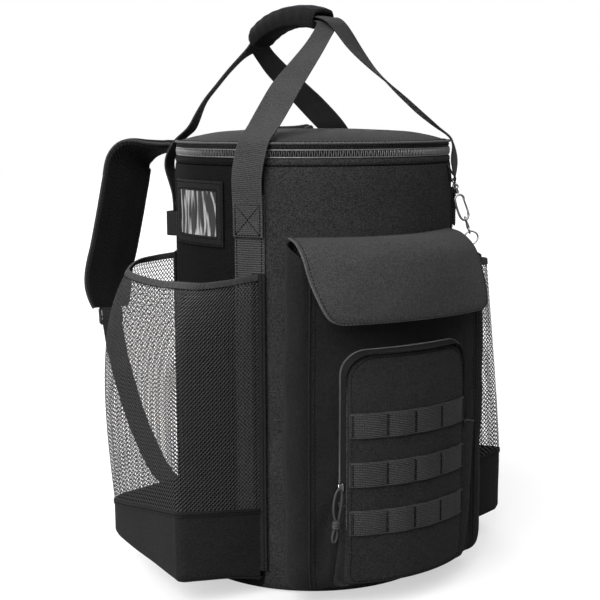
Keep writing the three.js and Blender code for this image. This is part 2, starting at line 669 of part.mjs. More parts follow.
for (const { side, sign } of SIDES) {
  const lean = SIDE_LEAN[side];
  const last = SIDE_LINE.length - 1;
  const place = (row, i, z, inset) => sidePoint(row, i, z, inset, lean, sign);

  const baseLayer = (inset, rise) => [
    SIDE_LINE.map((row, i) => polar(
      sign * lerp(SIDE_SEAM_FRONT, SIDE_SEAM_BACK, i / last), SIDE_FLOOR_RADIUS, 16 + rise,
    )),
    SIDE_LINE.map((row, i) => place(row, i, row.low + rise, inset)),
    SIDE_LINE.map((row, i) => place(row, i, row.border, inset)),
  ];
  addPiece(`side_pocket_base_${side}`, wall(baseLayer(0, 0), baseLayer(CLOTH, CLOTH)), FABRIC);

  const netLayer = (inset) => NET_ROWS.map((share) => SIDE_LINE.map((row, i) => {
    const z = lerp(row.border + GAP, row.rim - RIM_HEIGHT - GAP, share);
    return place(row, i, z, inset);
  }));
  addPiece(`side_pocket_mesh_${side}`, wall(netLayer(0.3), netLayer(0.3 + NET_THICKNESS)), NET);

  const rimLayer = (inset) => [0, 1].map((share) => SIDE_LINE.map((row, i) =>
    place(row, i, row.rim - RIM_HEIGHT * (1 - share), inset)));
  addPiece(`side_pocket_rim_${side}`, wall(rimLayer(-0.4), rimLayer(2.2)), WEBBING);

  const edges = [
    { end: 'front', angle: SIDE_SEAM_FRONT, top: 341 },
    { end: 'back', angle: SIDE_SEAM_BACK, top: 347 },
  ];
  for (const { end, angle, top } of edges) {
    addPiece(`side_pocket_edge_${end}_${side}`, panel(
      sign * (angle - SIDE_EDGE_HALF_ANGLE), sign * (angle + SIDE_EDGE_HALF_ANGLE),
      ANCHOR_BOTTOM, top, BODY_RADIUS + GAP + WEB_THICKNESS + GAP, 1.4, 2,
    ), FABRIC);
  }

  // A short webbing loop that stands off the side of the tub
  const LOOP_LINE = [
    { angle: 103.2, radius: 156.3 },
    { angle: 105.2, radius: 156.4 },
    { angle: 106.8, radius: 160.6 },
    { angle: 108.6, radius: 164.4 },
    { angle: 111, radius: 164.4 },
    { angle: 112.8, radius: 160.6 },
    { angle: 114.2, radius: 156.4 },
    { angle: 116, radius: 156.3 },
  ];
  addPiece(`side_loop_${side}`, strap(LOOP_LINE.map((row) => ({
    place: polar(sign * row.angle, row.radius, 383.5),
    across: at(0, 0, 1),
    width: 25.4,
    thickness: 1.3,
  }))), WEBBING);
}

// Card window on the left side: a stitched frame with a clear panel in it
const CARD = { from: -69, to: -102.2, low: 366, high: 433 };
const CARD_WINDOW = { from: -72.4, to: -97.8, low: 376, high: 423 };
function cardLoop(box, radius) {
  const across = steps(6, (t) => lerp(box.from, box.to, t));
  return [
    ...across.map((angle) => polar(angle, radius, box.low)),
    ...across.toReversed().map((angle) => polar(angle, radius, box.high)),
  ];
}
const cardFrameLayer = (radius) => [cardLoop(CARD, radius), cardLoop(CARD_WINDOW, radius)];
addPiece('id_frame', wall(
  cardFrameLayer(BODY_RADIUS + GAP + 1.8), cardFrameLayer(BODY_RADIUS + GAP), true,
), DARK_FABRIC);
const glassInset = 0.25;
addPiece('id_window', panel(
  CARD_WINDOW.from - glassInset, CARD_WINDOW.to + glassInset,
  CARD_WINDOW.low + 0.5, CARD_WINDOW.high - 0.5, BODY_RADIUS + GAP, 0.8, 6,
), CLEAR);

// Shoulder straps: padded, arched back from the top of the tub, each ending in a ladder
// buckle with a webbing tail that runs down to the tub's lower edge
const PAD_LINE = [
  { x: 56, y: 160, z: 422, crest: 0 },
  { x: 57, y: 164, z: 444.5, crest: 0.5 },
  { x: 64, y: 176, z: 461, crest: 0.9 },
  { x: 80, y: 194.5, z: 464, crest: 1 },
  { x: 106, y: 215.5, z: 461, crest: 0.8 },
  { x: 121.5, y: 226, z: 447, crest: 0.4 },
  { x: 127, y: 229.5, z: 420, crest: 0.1 },
  { x: 133, y: 232.5, z: 386, crest: 0 },
  { x: 141, y: 235.5, z: 345, crest: 0 },
  { x: 150, y: 237.5, z: 304, crest: 0 },
  { x: 151.5, y: 231, z: 266, crest: 0 },
];
const CREST_RISE = { left: 0, right: 16 };
const LOCK = { width: 34, height: 20, thickness: 4, slotWidth: 26, slotHeight: 4 };
const STRAP_TAIL = [
  { x: 151.6, y: 224.5, z: 243 },
  { x: 148.5, y: 214, z: 200 },
  { x: 138, y: 190, z: 130 },
  { x: 122, y: 164, z: 72 },
  { x: 104, y: 140, z: 46 },
];
for (const { side, sign } of SIDES) {
  const padFrames = routeFrames(
    PAD_LINE.map((p) => at(sign * p.x, p.y, p.z + p.crest * CREST_RISE[side])),
    PAD_LINE.map(() => at(sign, 0, 0)),
  );
  const padSection = steps(9, (t) => {
    const turn = radians(18 + 360 * t * 0.9);
    const soft = 1 / Math.max(Math.abs(Math.cos(turn)), Math.abs(Math.sin(turn))) ** 0.75;
    return { a: Math.cos(turn) * soft, b: Math.sin(turn) * soft };
  });
  addPiece(`shoulder_pad_${side}`, skin(padFrames.map(({ point, wide, normal }) =>
    padSection.map(({ a, b }) => point.clone()
      .addScaledVector(wide, a * PAD_WIDTH / 2)
      .addScaledVector(normal, b * PAD_THICKNESS / 2)))), PADDING);

  const end = padFrames.at(-1);
  const down = end.along;
  const lockMiddle = end.point.clone().addScaledVector(down, 0.5 + LOCK.height / 2);
  const lockLoop = (width, height, rise, shift) => [[-1, -1], [1, -1], [1, 1], [-1, 1]].map(([a, b]) =>
    lockMiddle.clone()
      .addScaledVector(end.wide, a * width / 2)
      .addScaledVector(down, shift + b * height / 2)
      .addScaledVector(end.normal, rise));
  const lockLayer = (rise) => [
    lockLoop(LOCK.width, LOCK.height, rise, 0),
    lockLoop(LOCK.slotWidth, LOCK.slotHeight, rise, 4),
  ];
  addPiece(`ladder_lock_${side}`, wall(
    lockLayer(LOCK.thickness / 2), lockLayer(-LOCK.thickness / 2), true,
  ), PLASTIC);

  addPiece(`shoulder_web_${side}`, strap(STRAP_TAIL.map((p) => ({
    place: at(sign * p.x, p.y, p.z), across: at(sign, 0, 0), width: STRAP_WEB_WIDTH, thickness: WEB_THICKNESS,
  }))), WEBBING);
}

// Snap clip: a cloth tab under the lid band, then a ring, a swivel, a spring hook with a
// hinged gate, a second swivel and an end ring that hangs beside the flap
const CLIP_TOP = at(104.6, -120.6, 430);
const CLIP_FOOT = at(116.5, -139.5, 364);
const CLIP_SCALE = 1.2;
const TAB_LINE = [
  { angle: 38.4, radius: 154.4, z: 447.6 },
  { angle: 39.4, radius: 157.8, z: 440 },
  { angle: 40.6, radius: 161.8, z: 433 },
  { angle: 40.9, radius: 161.2, z: 428.6 },
  { angle: 40.8, radius: 158.4, z: 427.8 },
  { angle: 40.4, radius: 156.5, z: 431 },
  { angle: 39.9, radius: 155.9, z: 437 },
];
addPiece('clip_tab', strap(TAB_LINE.map((row) => ({
  place: polar(row.angle, row.radius, row.z),
  across: at(Math.cos(radians(row.angle)), Math.sin(radians(row.angle)), 0),
  width: 8,
  thickness: 0.8,
}))), FABRIC);

const clip = new THREE.Group();
const clipUp = CLIP_TOP.clone().sub(CLIP_FOOT).normalize();
const clipRight = at(0.845, -0.534, 0).addScaledVector(clipUp, -at(0.845, -0.534, 0).dot(clipUp)).normalize();
const clipBack = clipUp.clone().cross(clipRight);
clip.applyMatrix4(new THREE.Matrix4().makeBasis(clipRight, clipBack, clipUp).setPosition(CLIP_TOP));
clip.scale.setScalar(CLIP_SCALE);
bag.add(clip);

const WIRE = 1.1;
const FINE_WIRE = 0.8;
const oval = (halfWidth, halfHeight, middle, count, plane) => steps(count - 1, (_, i) => {
  const turn = (2 * Math.PI * i) / count;
  const across = halfWidth * Math.cos(turn);
  const up = middle + halfHeight * Math.sin(turn);
  return plane === 'flat' ? at(across, 0, up) : at(0, across, up);
});
const barrel = (radius, low, high) =>
  new THREE.CylinderGeometry(radius, radius, high - low, 10).rotateX(Math.PI / 2).translate(0, 0, (low + high) / 2);

// The ring hangs square in the tab's fold
const RING_ANGLE = radians(40.9);
const ringAcross = at(Math.cos(RING_ANGLE), Math.sin(RING_ANGLE), 0);
const ringUp = clipUp.clone().addScaledVector(ringAcross, -clipUp.dot(ringAcross)).normalize();
const RING_HALF_WIDTH = 5.8;
const RING_HALF_HEIGHT = 4.6;
const RING_DROP = 2.6;
addPiece('clip_ring', wire(steps(13, (_, i) => {
  const turn = (2 * Math.PI * i) / 14;
  return CLIP_TOP.clone()
    .addScaledVector(ringAcross, RING_HALF_WIDTH * Math.cos(turn))
    .addScaledVector(ringUp, RING_HALF_HEIGHT * Math.sin(turn) - RING_DROP);
}), FINE_WIRE, 6, ringAcross.clone().cross(ringUp), true), METAL);
addPiece('clip_swivel', fused(
  wire(oval(2, 2.2, -6, 12, 'flat'), FINE_WIRE, 6, at(0, 1, 0), true),
  barrel(1.5, -12.6, -7.6),
), METAL, clip);

// The hook is a bent wire that is open on its right side, where the gate closes it
const HOOK_LINE = [
  { x: 3.6, z: -19.6 },
  { x: 3.9, z: -17.2 },
  { x: 2.6, z: -14.8 },
  { x: 0, z: -14 },
  { x: -2.8, z: -15.2 },
  { x: -4.2, z: -18.5 },
  { x: -4.6, z: -26 },
  { x: -4, z: -33.5 },
  { x: -2, z: -37 },
  { x: 1.2, z: -37.2 },
  { x: 3.4, z: -34.6 },
  { x: 4, z: -31.8 },
];
addPiece('clip_hook', wire(
  HOOK_LINE.map((p) => at(p.x, 0, p.z)), WIRE, 6, at(0, 1, 0),
), METAL, clip);
addPiece('clip_gate', wire(
  [at(4.1, 0, -31.2), at(4, 0, -27.4), at(3.8, 0, -23.6), at(3.6, 0, -20)], 0.9, 6, at(0, 1, 0),
), METAL, clip);

addPiece('clip_link', fused(
  wire(oval(2.4, 3.4, -38.3, 12, 'edge'), FINE_WIRE, 6, at(1, 0, 0), true),
  barrel(1.5, -46, -40.8),
  wire(oval(2.2, 2.6, -47.6, 12, 'edge'), FINE_WIRE, 6, at(1, 0, 0), true),
), METAL, clip);
const END_RING_LINE = [
  { x: 0, z: -48.4 }, { x: 3, z: -49.4 }, { x: 5.6, z: -52.2 }, { x: 6, z: -55.4 },
  { x: 4, z: -58.6 }, { x: 0, z: -60.4 }, { x: -4, z: -58.6 }, { x: -6, z: -55.4 },
  { x: -5.6, z: -52.2 }, { x: -3, z: -49.4 },
];
addPiece('clip_end_ring', wire(
  END_RING_LINE.map((p) => at(p.x, 0, p.z)), FINE_WIRE, 6, at(0, 1, 0), true,
), METAL, clip);

export default bag;
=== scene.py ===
import math
from functools import partial

import bmesh
import bpy
import numpy as np
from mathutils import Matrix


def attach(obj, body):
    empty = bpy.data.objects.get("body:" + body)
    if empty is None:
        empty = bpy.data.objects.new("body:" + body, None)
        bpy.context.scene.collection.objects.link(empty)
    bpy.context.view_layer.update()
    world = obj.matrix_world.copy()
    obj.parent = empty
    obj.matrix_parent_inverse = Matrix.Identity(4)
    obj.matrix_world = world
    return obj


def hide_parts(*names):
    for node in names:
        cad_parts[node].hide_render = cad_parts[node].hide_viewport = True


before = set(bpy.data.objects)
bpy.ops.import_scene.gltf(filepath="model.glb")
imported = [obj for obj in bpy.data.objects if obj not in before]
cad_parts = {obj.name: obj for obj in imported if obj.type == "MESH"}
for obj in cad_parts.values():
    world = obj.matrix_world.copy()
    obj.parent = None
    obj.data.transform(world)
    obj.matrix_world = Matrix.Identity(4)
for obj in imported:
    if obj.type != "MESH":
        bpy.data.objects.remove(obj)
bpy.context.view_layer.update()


# Tub
# A round tub of fine black oxford cloth over a thin padded wall, sewn to a flat round base.
# It stands on that base by itself and carries every other piece. Sizes are in millimetres.

TUB_RADIUS, TUB_TOP, TURN_STEPS = 155.0, 449.0, 180
ROUND = 2 * math.pi


def polar(angle, radius, height):
    """Points at an angle in degrees from the front, towards +X, at a radius and a height."""
    turn = np.radians(angle)
    parts = np.broadcast_arrays(radius * np.sin(turn), -radius * np.cos(turn), height)
    return np.stack(parts, -1).astype(float)


def turned(profile):
    """Rows of points turned about the upright axis from rows of height and radius."""
    height, radius = np.transpose(profile)[..., None]
    return polar(np.linspace(-180, 180, TURN_STEPS, endpoint=False), radius, height)


def circle(count):
    """Cosine and sine at even steps round a circle."""
    turn = np.linspace(0, ROUND, count, endpoint=False)
    return np.cos(turn), np.sin(turn)


def eased(rows, count):
    """A smooth run of count rows through the rows of a short table."""
    rows = np.asarray(rows, float)
    held = np.vstack([2 * rows[0] - rows[1], rows, 2 * rows[-1] - rows[-2]])
    place = np.linspace(0, len(rows) - 1, count)
    first = np.minimum(place.astype(int), len(rows) - 2)
    share = (place - first)[:, None]
    a, b, c, d = (held[first + i] for i in range(4))
    return 0.5 * (2 * b + (c - a) * share + (2 * a - 5 * b + 4 * c - d) * share**2
                  + (3 * b - a - 3 * c + d) * share**3)


def ramp(value, start, end):
    """From 0 at the start to 1 at the end, and level past both."""
    return np.clip((value - start) / (end - start), 0, 1)


def run_of(line):
    """How far along a line each of its points lies."""
    return np.concatenate([[0], np.cumsum(np.linalg.norm(np.diff(line, axis=0), axis=1))])


def at_run(values, run, stops):
    """The values along a run at these stops on it."""
    return np.stack([np.interp(stops, run, column) for column in values.T], -1)


def even(line, step):
    """The same line with points about one step apart."""
    run = run_of(line)
    return at_run(line, run, np.linspace(0, run[-1], max(2, int(round(run[-1] / step)) + 1)))


def closed(line):
    return np.vstack([line, line[:1]])


def unit(vectors):
    return vectors / np.maximum(np.linalg.norm(vectors, axis=-1, keepdims=True), 1e-9)


def squared(vectors, along):
    """The vectors turned square to a line, each one long."""
    return unit(vectors - along * np.sum(vectors * along, -1, keepdims=True))


def slack(points, size, depth, seed):
    """How far slack cloth lies in or out at each point, in soft uneven waves of about that size."""
    waves = np.zeros(points.shape[:-1])
    leans = [(1, 0.3, 0.2), (-0.4, 1, 0.5), (0.3, -0.6, 1), (0.9, 0.8, -0.5), (-0.7, 0.5, 0.9)]
    for i, lean in enumerate(leans):
        waves += np.sin(points @ np.array(lean) * (ROUND / size) * (0.75 + 0.2 * i) + seed + 2.3 * i)
    return depth * waves / len(leans)


def grid_normals(points, ring=False):
    across = (np.roll(points, -1, 1) - np.roll(points, 1, 1)) if ring else np.gradient(points, axis=1)
    return unit(np.cross(across, np.gradient(points, axis=0)))


def outward(points, heart, ring=False):
    """The normals of a grid, all on the side that faces away from its heart."""
    normal = grid_normals(points, ring)
    return normal * np.sign(np.sum(normal * (points - np.asarray(heart, float))))


def cloth_places(points, ring=False):
    """Where each point of a grid lies on its flat cloth: along the row and up the column."""
    whole = np.concatenate([points, points[:, :1]], 1) if ring else points
    along = np.cumsum(np.linalg.norm(np.diff(whole, axis=1, prepend=whole[:, :1]), axis=2), 1)
    along -= along[:, along.shape[1] // 2][:, None]
    up = np.cumsum(np.linalg.norm(np.diff(whole, axis=0, prepend=whole[:1]), axis=2), 0)
    return np.stack([along, up], -1)


def ruled(across, along):
    """Cloth places of a grid from those of its columns and those of its rows."""
    return np.stack(np.broadcast_arrays(across, along[:, None]), -1)


def rim_loops(shape, ring):
    """The loops of a grid's rim, each with the points just inside it."""
    rows, columns = shape[:2]
    if ring:
        every = np.arange(columns)
        return [((0 * every + edge, every), (0 * every + inner, every))
                for edge, inner in ((0, 1), (rows - 1, rows - 2))]
    r = np.concatenate([np.zeros(columns - 1), np.arange(rows - 1),
                        np.full(columns - 1, rows - 1), np.arange(rows - 1, 0, -1)]).astype(int)
    c = np.concatenate([np.arange(columns - 1), np.full(rows - 1, columns - 1),
                        np.arange(columns - 1, 0, -1), np.zeros(rows - 1)]).astype(int)
    return [((r, c), (np.clip(r, 1, rows - 2), np.clip(c, 1, columns - 2)))]


class Pattern:
    """One piece as it is cut: points in millimetres, faces, and each corner's place on the cloth."""

    def __init__(self):
        self.points, self.faces, self.lay, self.count = [], [], [], 0

    def add(self, points, lay, *face_sets):
        """New points with their faces. The lay is given for each point or for each face's corners."""
        for faces in face_sets:
            self.faces += (faces + self.count).tolist()
            self.lay.append((lay if lay.ndim == 3 else lay[faces]).reshape(-1, 2))
        self.points.append(points.reshape(-1, 3))
        self.count += points.size // 3
        return self

    def grid(self, points, lay=None, ring=False, flip=False):
        """A skin over rows and columns of points. On a ring the columns close on themselves."""
        rows, columns = points.shape[:2]
        lay = cloth_places(points, ring) if lay is None else lay
        r, c = np.mgrid[: rows - 1, : columns - (0 if ring else 1)]
        order = [(0, 0), (0, 1), (1, 1), (1, 0)]
        if flip:
            order.reverse()
        faces = np.stack([(r + i) * columns + (c + j) % columns for i, j in order], -1).reshape(-1, 4)
        corners = np.stack([lay[r + i, c + j] for i, j in order], -2).reshape(-1, 4, 2)
        return self.add(points, corners, faces)

    def sheet(self, face, thickness, heart, ring=False, lay=None):
        """Cloth with this outer face, a back on the heart's side and a rounded rim between them."""
        lay = cloth_places(face, ring) if lay is None else lay
        normal = outward(face, heart, ring)
        flip = np.sum(normal * grid_normals(face, ring)) < 0
        back = face - normal * thickness
        self.grid(face, lay, ring, flip).grid(back, lay, ring, not flip)
        for loop, inner in rim_loops(face.shape, ring):
            edge, behind = face[loop], back[loop]
            proud = unit(edge - face[inner])
            strip = np.stack([edge, (edge + behind) / 2 + proud * thickness * 0.4, behind])
            inside_out = np.sum(grid_normals(strip, True)[1] * proud) < 0
            self.grid(strip, ruled(np.arange(len(edge) + 1.0), np.arange(3.0)), True, inside_out)
        return self

    def tube(self, line, radius, sides=10, ring=False):
        """A round cord or wire along a line of points, with the radius given for all or for each."""
        along = np.roll(line, -1, 0) - np.roll(line, 1, 0)
        if not ring:
            along[0], along[-1] = line[1] - line[0], line[-1] - line[-2]
        along = unit(along)
        side = [np.cross(along[0], [0.31, 0.52, 0.79])]
        for direction in along:
            side.append(squared(side[-1], direction))
        side = np.array(side[1:])[:, None]
        up = np.cross(along, side[:, 0])[:, None]
        radius = np.broadcast_to(np.asarray(radius, float), (len(line),))
        cos, sin = circle(sides)
        loops = line[:, None] + radius[:, None, None] * (side * cos[:, None] + up * sin[:, None])
        run = run_of(closed(line) if ring else line)
        skin = np.concatenate([loops, loops[:1]]) if ring else loops
        self.grid(skin, ruled(np.linspace(0, ROUND * radius.mean(), sides + 1), run), ring=True, flip=True)
        i = np.arange(sides)
        fan = np.stack([i, (i + 1) % sides, np.full(sides, sides)], -1)
        for end, direction in () if ring else ((0, -1), (-1, 1)):
            points = np.vstack([loops[end], line[end] + direction * along[end] * radius[end] * 0.5])
            self.add(points, points[:, :2], fan[:, ::direction])
        return self

    def bars(self, middle, along, out, length, width, height):
        """Small rounded bars that lie along one direction and stand out, as stitches and teeth do."""
        along = np.broadcast_to(unit(along), middle.shape)
        out = squared(np.broadcast_to(out, middle.shape), along)
        side = np.cross(along, out)
        spots = [middle - along * length / 2, middle + along * length / 2]
        for shift in (-0.36, 0.36):
            heart = middle + along * length * shift
            spots += [heart - side * width / 2, heart + out * height,
                      heart + side * width / 2, heart - out * height * 0.4]
        i, following = np.arange(4), (np.arange(4) + 1) % 4
        tips = np.vstack([np.stack([0 * i, 2 + following, 2 + i], -1),
                          np.stack([0 * i + 1, 6 + i, 6 + following], -1)])
        flanks = np.stack([2 + i, 2 + following, 6 + following, 6 + i], -1)
        first = 10 * np.arange(len(middle))[:, None, None]
        lay = np.array([(-1.5, 0), (1.5, 0)] + [(end, y) for end in (-1.2, 1.2) for y in (-0.9, 0, 0.9, 0)])
        return self.add(np.stack(spots, 1), np.tile(lay, (len(middle), 1)),
                        (first + tips).reshape(-1, 3), (first + flanks).reshape(-1, 4))

    def stitches(self, line, out, step, gap=1.0, width=1.1, height=0.45):
        """A row of stitches along a line, on cloth that faces out there."""
        run = run_of(line)
        stops, half = np.arange(step / 2, run[-1], step), (step - gap) / 2
        ahead, behind = at_run(line, run, stops + half), at_run(line, run, stops - half)
        facing = at_run(np.broadcast_to(np.asarray(out, float), line.shape), run, stops)
        return self.bars((ahead + behind) / 2, ahead - behind, facing, step - gap, width, height)

    def piece(self, name, finish, *stands_for, body="bag", crease=40):
        """Sews the pattern into one object that rides on a body of the bag."""
        mesh = bpy.data.meshes.new(name)
        mesh.from_pydata((np.vstack(self.points) / 1000).tolist(), [], self.faces)
        places = mesh.uv_layers.new(name="Lay")
        places.uv.foreach_set("vector", np.vstack(self.lay).astype(np.float32).ravel())
        welded = bmesh.new()
        welded.from_mesh(mesh)
        bmesh.ops.remove_doubles(welded, verts=welded.verts, dist=1e-5)
        welded.to_mesh(mesh)
        welded.free()
        mesh.polygons.foreach_set("use_smooth", [True] * len(mesh.polygons))
        mesh.set_sharp_from_angle(angle=math.radians(crease))
        mesh.materials.append(finish.material)
        made = bpy.data.objects.new(name, mesh)
        bpy.context.scene.collection.objects.link(made)
        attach(made, body)
        if stands_for:
            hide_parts(*stands_for)
        return made


class Strand:
    """A value in a finish. Sums on it become Math nodes."""

    def __init__(self, finish, socket):
        self.finish, self.socket = finish, socket

    def sum(self, how, a, b=0.0):
        return self.finish.node("ShaderNodeMath", {"operation": how}, {0: a, 1: b})

    def __add__(self, other):
        return self.sum("ADD", self, other)

    def __sub__(self, other):
        return self.sum("SUBTRACT", self, other)

    def __rsub__(self, other):
        return self.sum("SUBTRACT", other, self)

    def __mul__(self, other):
        return self.sum("MULTIPLY", self, other)

    def __abs__(self):
        return self.sum("ABSOLUTE", self)

    __radd__, __rmul__ = __add__, __mul__

    def wave(self):
        return self.sum("SINE", self)

    def part(self):
        return self.sum("FRACT", self)

    def past(self, edge):
        return self.sum("GREATER_THAN", self, edge)

    def at_least(self, low):
        return self.sum("MAXIMUM", self, low)


class Finish:
    """A material for one slot of the part, built up from its shader."""

    def __init__(self, name, slot):
        self.material, self.slot = bpy.data.materials.new(name), slot
        self.material.use_nodes = True
        self.tree = self.material.node_tree
        self.shader = self.tree.nodes["Principled BSDF"]

    def node(self, kind, settings=None, sockets=None, output=0):
        made = self.tree.nodes.new(kind)
        for key, value in (settings or {}).items():
            setattr(made, key, value)
        for key, value in (sockets or {}).items():
            self.feed(made.inputs[key], value)
        return Strand(self, made.outputs[output])

    def feed(self, socket, value):
        if isinstance(value, Strand):
            self.tree.links.new(value.socket, socket)
        else:
            socket.default_value = value

    def show(self, **sockets):
        for key, value in sockets.items():
            self.feed(self.shader.inputs[key.replace("_", " ")], value)

    def lay(self):
        """How far across and along its cloth each spot is, in millimetres."""
        place = self.node("ShaderNodeUVMap", {"uv_map": "Lay"})
        return [self.node("ShaderNodeSeparateXYZ", {}, {0: place}, i) for i in (0, 1)]

    def place(self):
        return self.node("ShaderNodeTexCoord", {}, {}, 3)

    def cloud(self, size, detail=4.0, rough=0.6, where=None):
        """Soft uneven patches of about that size in millimetres."""
        return self.node("ShaderNodeTexNoise", {}, {
            "Vector": where or self.place(), "Scale": 1000.0 / size, "Detail": detail, "Roughness": rough})

    def streaks(self, across, along, detail=2.0, rough=0.5):
        """Uneven patches about one long each way, in places that may be drawn out one way."""
        where = self.node("ShaderNodeCombineXYZ", {}, {0: across, 1: along})
        return self.cloud(1000.0, detail, rough, where)

    def blend(self, share, low, high):
        return self.node("ShaderNodeMix", {"data_type": "RGBA"}, {0: share, 6: low, 7: high}, 2)

    def tones(self, share, low, high):
        """A grey that goes from low to high with the share."""
        return self.blend(share, grey(low), grey(high))

    def relief(self, height, depth, strength):
        """Raised and sunk detail of that depth in millimetres."""
        sockets = {"Height": height, "Distance": depth / 1000.0, "Strength": strength}
        self.show(Normal=self.node("ShaderNodeBump", {}, sockets))


def grey(value, warm=0.0):
    return (value * (1 + warm), value, value * (1 - 0.6 * warm), 1.0)


def oxford(name, low, high, slot="cloth", warm=0.0, thread=1.05, sheen=0.03, shine=0.15, side=None):
    """Plain weave cloth: crossing threads, uneven yarns along both, and faint larger patches.
    Where side is given, the panels past the upright strips are painted darker, at that share of the tone, as
    painted shade."""
    fin = Finish(name, slot)
    u, v = fin.lay()
    over = (u * (math.pi / thread)).wave() * (v * (math.pi / thread)).wave()
    yarns, ends = fin.streaks(u * 0.1, v * 0.6), fin.streaks(u * 0.6, v * 0.1)
    fleck, patch = fin.cloud(1.15, 1.0, 0.5), fin.cloud(45.0, 5.0, 0.62)
    shade = over * 0.16 + yarns * 0.5 + ends * 0.5 + fleck * 3.6 + patch * 0.5 - 2.1
    colour = fin.blend(shade, grey(low, warm), grey(high, warm))
    # Painted shade: the panels past the upright strips, on both sides and round the back, get a darker tone.
    if side:
        x = fin.node("ShaderNodeSeparateXYZ", {}, {0: fin.place()}, 0)
        colour = fin.blend(abs(x).past(0.121), colour, fin.tones(shade, side * low, side * high))
    fin.show(Base_Color=colour, Roughness=0.78 - over * 0.06 + patch * 0.08 - 0.04)
    fin.show(Sheen_Weight=sheen, Sheen_Roughness=0.45, Specular_IOR_Level=shine)
    fin.relief(over + yarns * 0.8 + ends * 0.8 + fleck * 1.6, 0.22, 0.9)
    return fin


# side=0.2 paints the tub's side and back panels darker than its front, as painted shade.
TUB_CLOTH = oxford("tub_cloth", 0.012, 0.043, sheen=0.01, shine=0.07, side=0.2)
WALL_LOW, TAPER_LOW, TAPER, LINING_RADIUS = 95.0, 434.0, 1.8, 152.0
# Columns: height and radius
FOOT_PROFILE = [(0, 0), (0, 70), (0, 138), (0.5, 142.5), (2.2, 146.6), (6, 149.8), (14, 152.3), (30, 153.6),
                (48, 154.4), (WALL_LOW, TUB_RADIUS)]
LINING_PROFILE = [(TUB_TOP, TUB_RADIUS - 2.0), (TUB_TOP, TUB_RADIUS - 4.8), (TAPER_LOW, LINING_RADIUS),
                  (WALL_LOW, LINING_RADIUS), (17, 149.3), (6, 144.5), (3, 138), (3, 0)]
wall_heights = np.linspace(WALL_LOW, TUB_TOP, 46)[1:]
wall_radii = TUB_RADIUS - TAPER * ramp(wall_heights, TAPER_LOW, TUB_TOP)
outside = turned(np.vstack([FOOT_PROFILE, np.stack([wall_heights, wall_radii], -1)]))
hollow = ramp(outside[..., 2], 40, 100) * ramp(outside[..., 2], TUB_TOP - 6, TUB_TOP - 36)
dent = hollow * (0.7 + slack(outside, 190, 0.9, 1.0))
outside[..., :2] *= (1 - np.maximum(dent, 0) / TUB_RADIUS)[..., None]
tub = Pattern().grid(outside, ring=True).grid(turned(LINING_PROFILE), ring=True)
tub.piece("tub", TUB_CLOTH, "body_tub", "base_panel")


# Upright strips
# Four strips of ribbed webbing, sewn flat to the tub from the base up to the handle ends, with a
# row of stitches along each edge.

WEB_WIDTH = 33.4
STRIP_LOW, STRIP_HIGH, STRIP_FACE = 26.0, 420.0, 157.0
FRONT_ANGLE, BACK_ANGLE = 57.4, 133.0
SIDES = [("left", -1), ("right", 1)]


def webbing(name, low, high, rib=2.3, width=WEB_WIDTH, ribbed=0.75):
    """Woven webbing: ribs across it, fine ends along it, and a firmer edge on both sides."""
    fin = Finish(name, "webbing")
    u, v = fin.lay()
    ribs = abs((v * (math.pi / rib)).wave())
    ends = (u * (ROUND / 1.5)).wave()
    edge = (abs(u) * (2.0 / width)).past(0.93)
    fleck = fin.streaks(u * 0.9, v * 0.5, 3.0, 0.6)
    patch = fin.cloud(30.0, 3.0, 0.6)
    shade = ribs * ribbed + ends * 0.12 + fleck * 1.8 + patch * 0.4 + edge * 0.12 - 0.72 - 0.64 * ribbed
    fin.show(Base_Color=fin.tones(shade, low, high), Roughness=0.62 + fleck * 0.2 - 0.1)
    fin.show(Sheen_Weight=0.04, Sheen_Roughness=0.4, Specular_IOR_Level=0.22)
    fin.relief(ribs + ends * 0.25 + fleck * 0.2, 0.4, 0.9)
    return fin


STRIP_WEB = webbing("strip_webbing", 0.014, 0.07)
# Black thread, made much darker than the cloth so that stitch rows read as sunk grooves: partly its own
# colour, partly painted shade.
THREAD = Finish("black_thread_and_groove_shade", "webbing")
u, v = THREAD.lay()
twist = (u * 7.0 + v * 5.0).wave()
THREAD.show(Base_Color=THREAD.tones(twist * 0.35 + 0.5, 0.0024, 0.0052), Roughness=0.7 + twist * 0.06)
THREAD.show(Specular_IOR_Level=0.08)
THREAD.relief(twist, 0.08, 0.6)

half_strip = math.degrees(WEB_WIDTH / 2 / TUB_RADIUS)
spread = np.linspace(-half_strip, half_strip, 11)
heights = np.linspace(STRIP_LOW, STRIP_HIGH, 90)
crown = STRIP_FACE - 0.35 * np.abs(spread / half_strip) ** 6
for side, sign in SIDES:
    for end, angle in (("front", FRONT_ANGLE), ("back", BACK_ANGLE)):
        strip = Pattern().sheet(polar(sign * angle + spread, crown, heights[:, None]), 1.5, (0, 0, 200))
        strip.piece(f"upright_strip_{end}_{side}", STRIP_WEB, f"anchor_strip_{end}_{side}")
        rows = Pattern()
        for place in (-0.84, 0.84):
            line = polar(sign * angle + place * half_strip, STRIP_FACE + 0.05, heights)
            rows.stitches(line, polar(sign * angle, 1, 0), 3.6)
        rows.piece(f"strip_stitches_{end}_{side}", THREAD)


# Side pockets
# Each is a cloth tub sewn to the side, with walls of open knitted net above it, an elastic rim
# bound in grosgrain that draws the mouth in, and taped seams where it meets the tub.

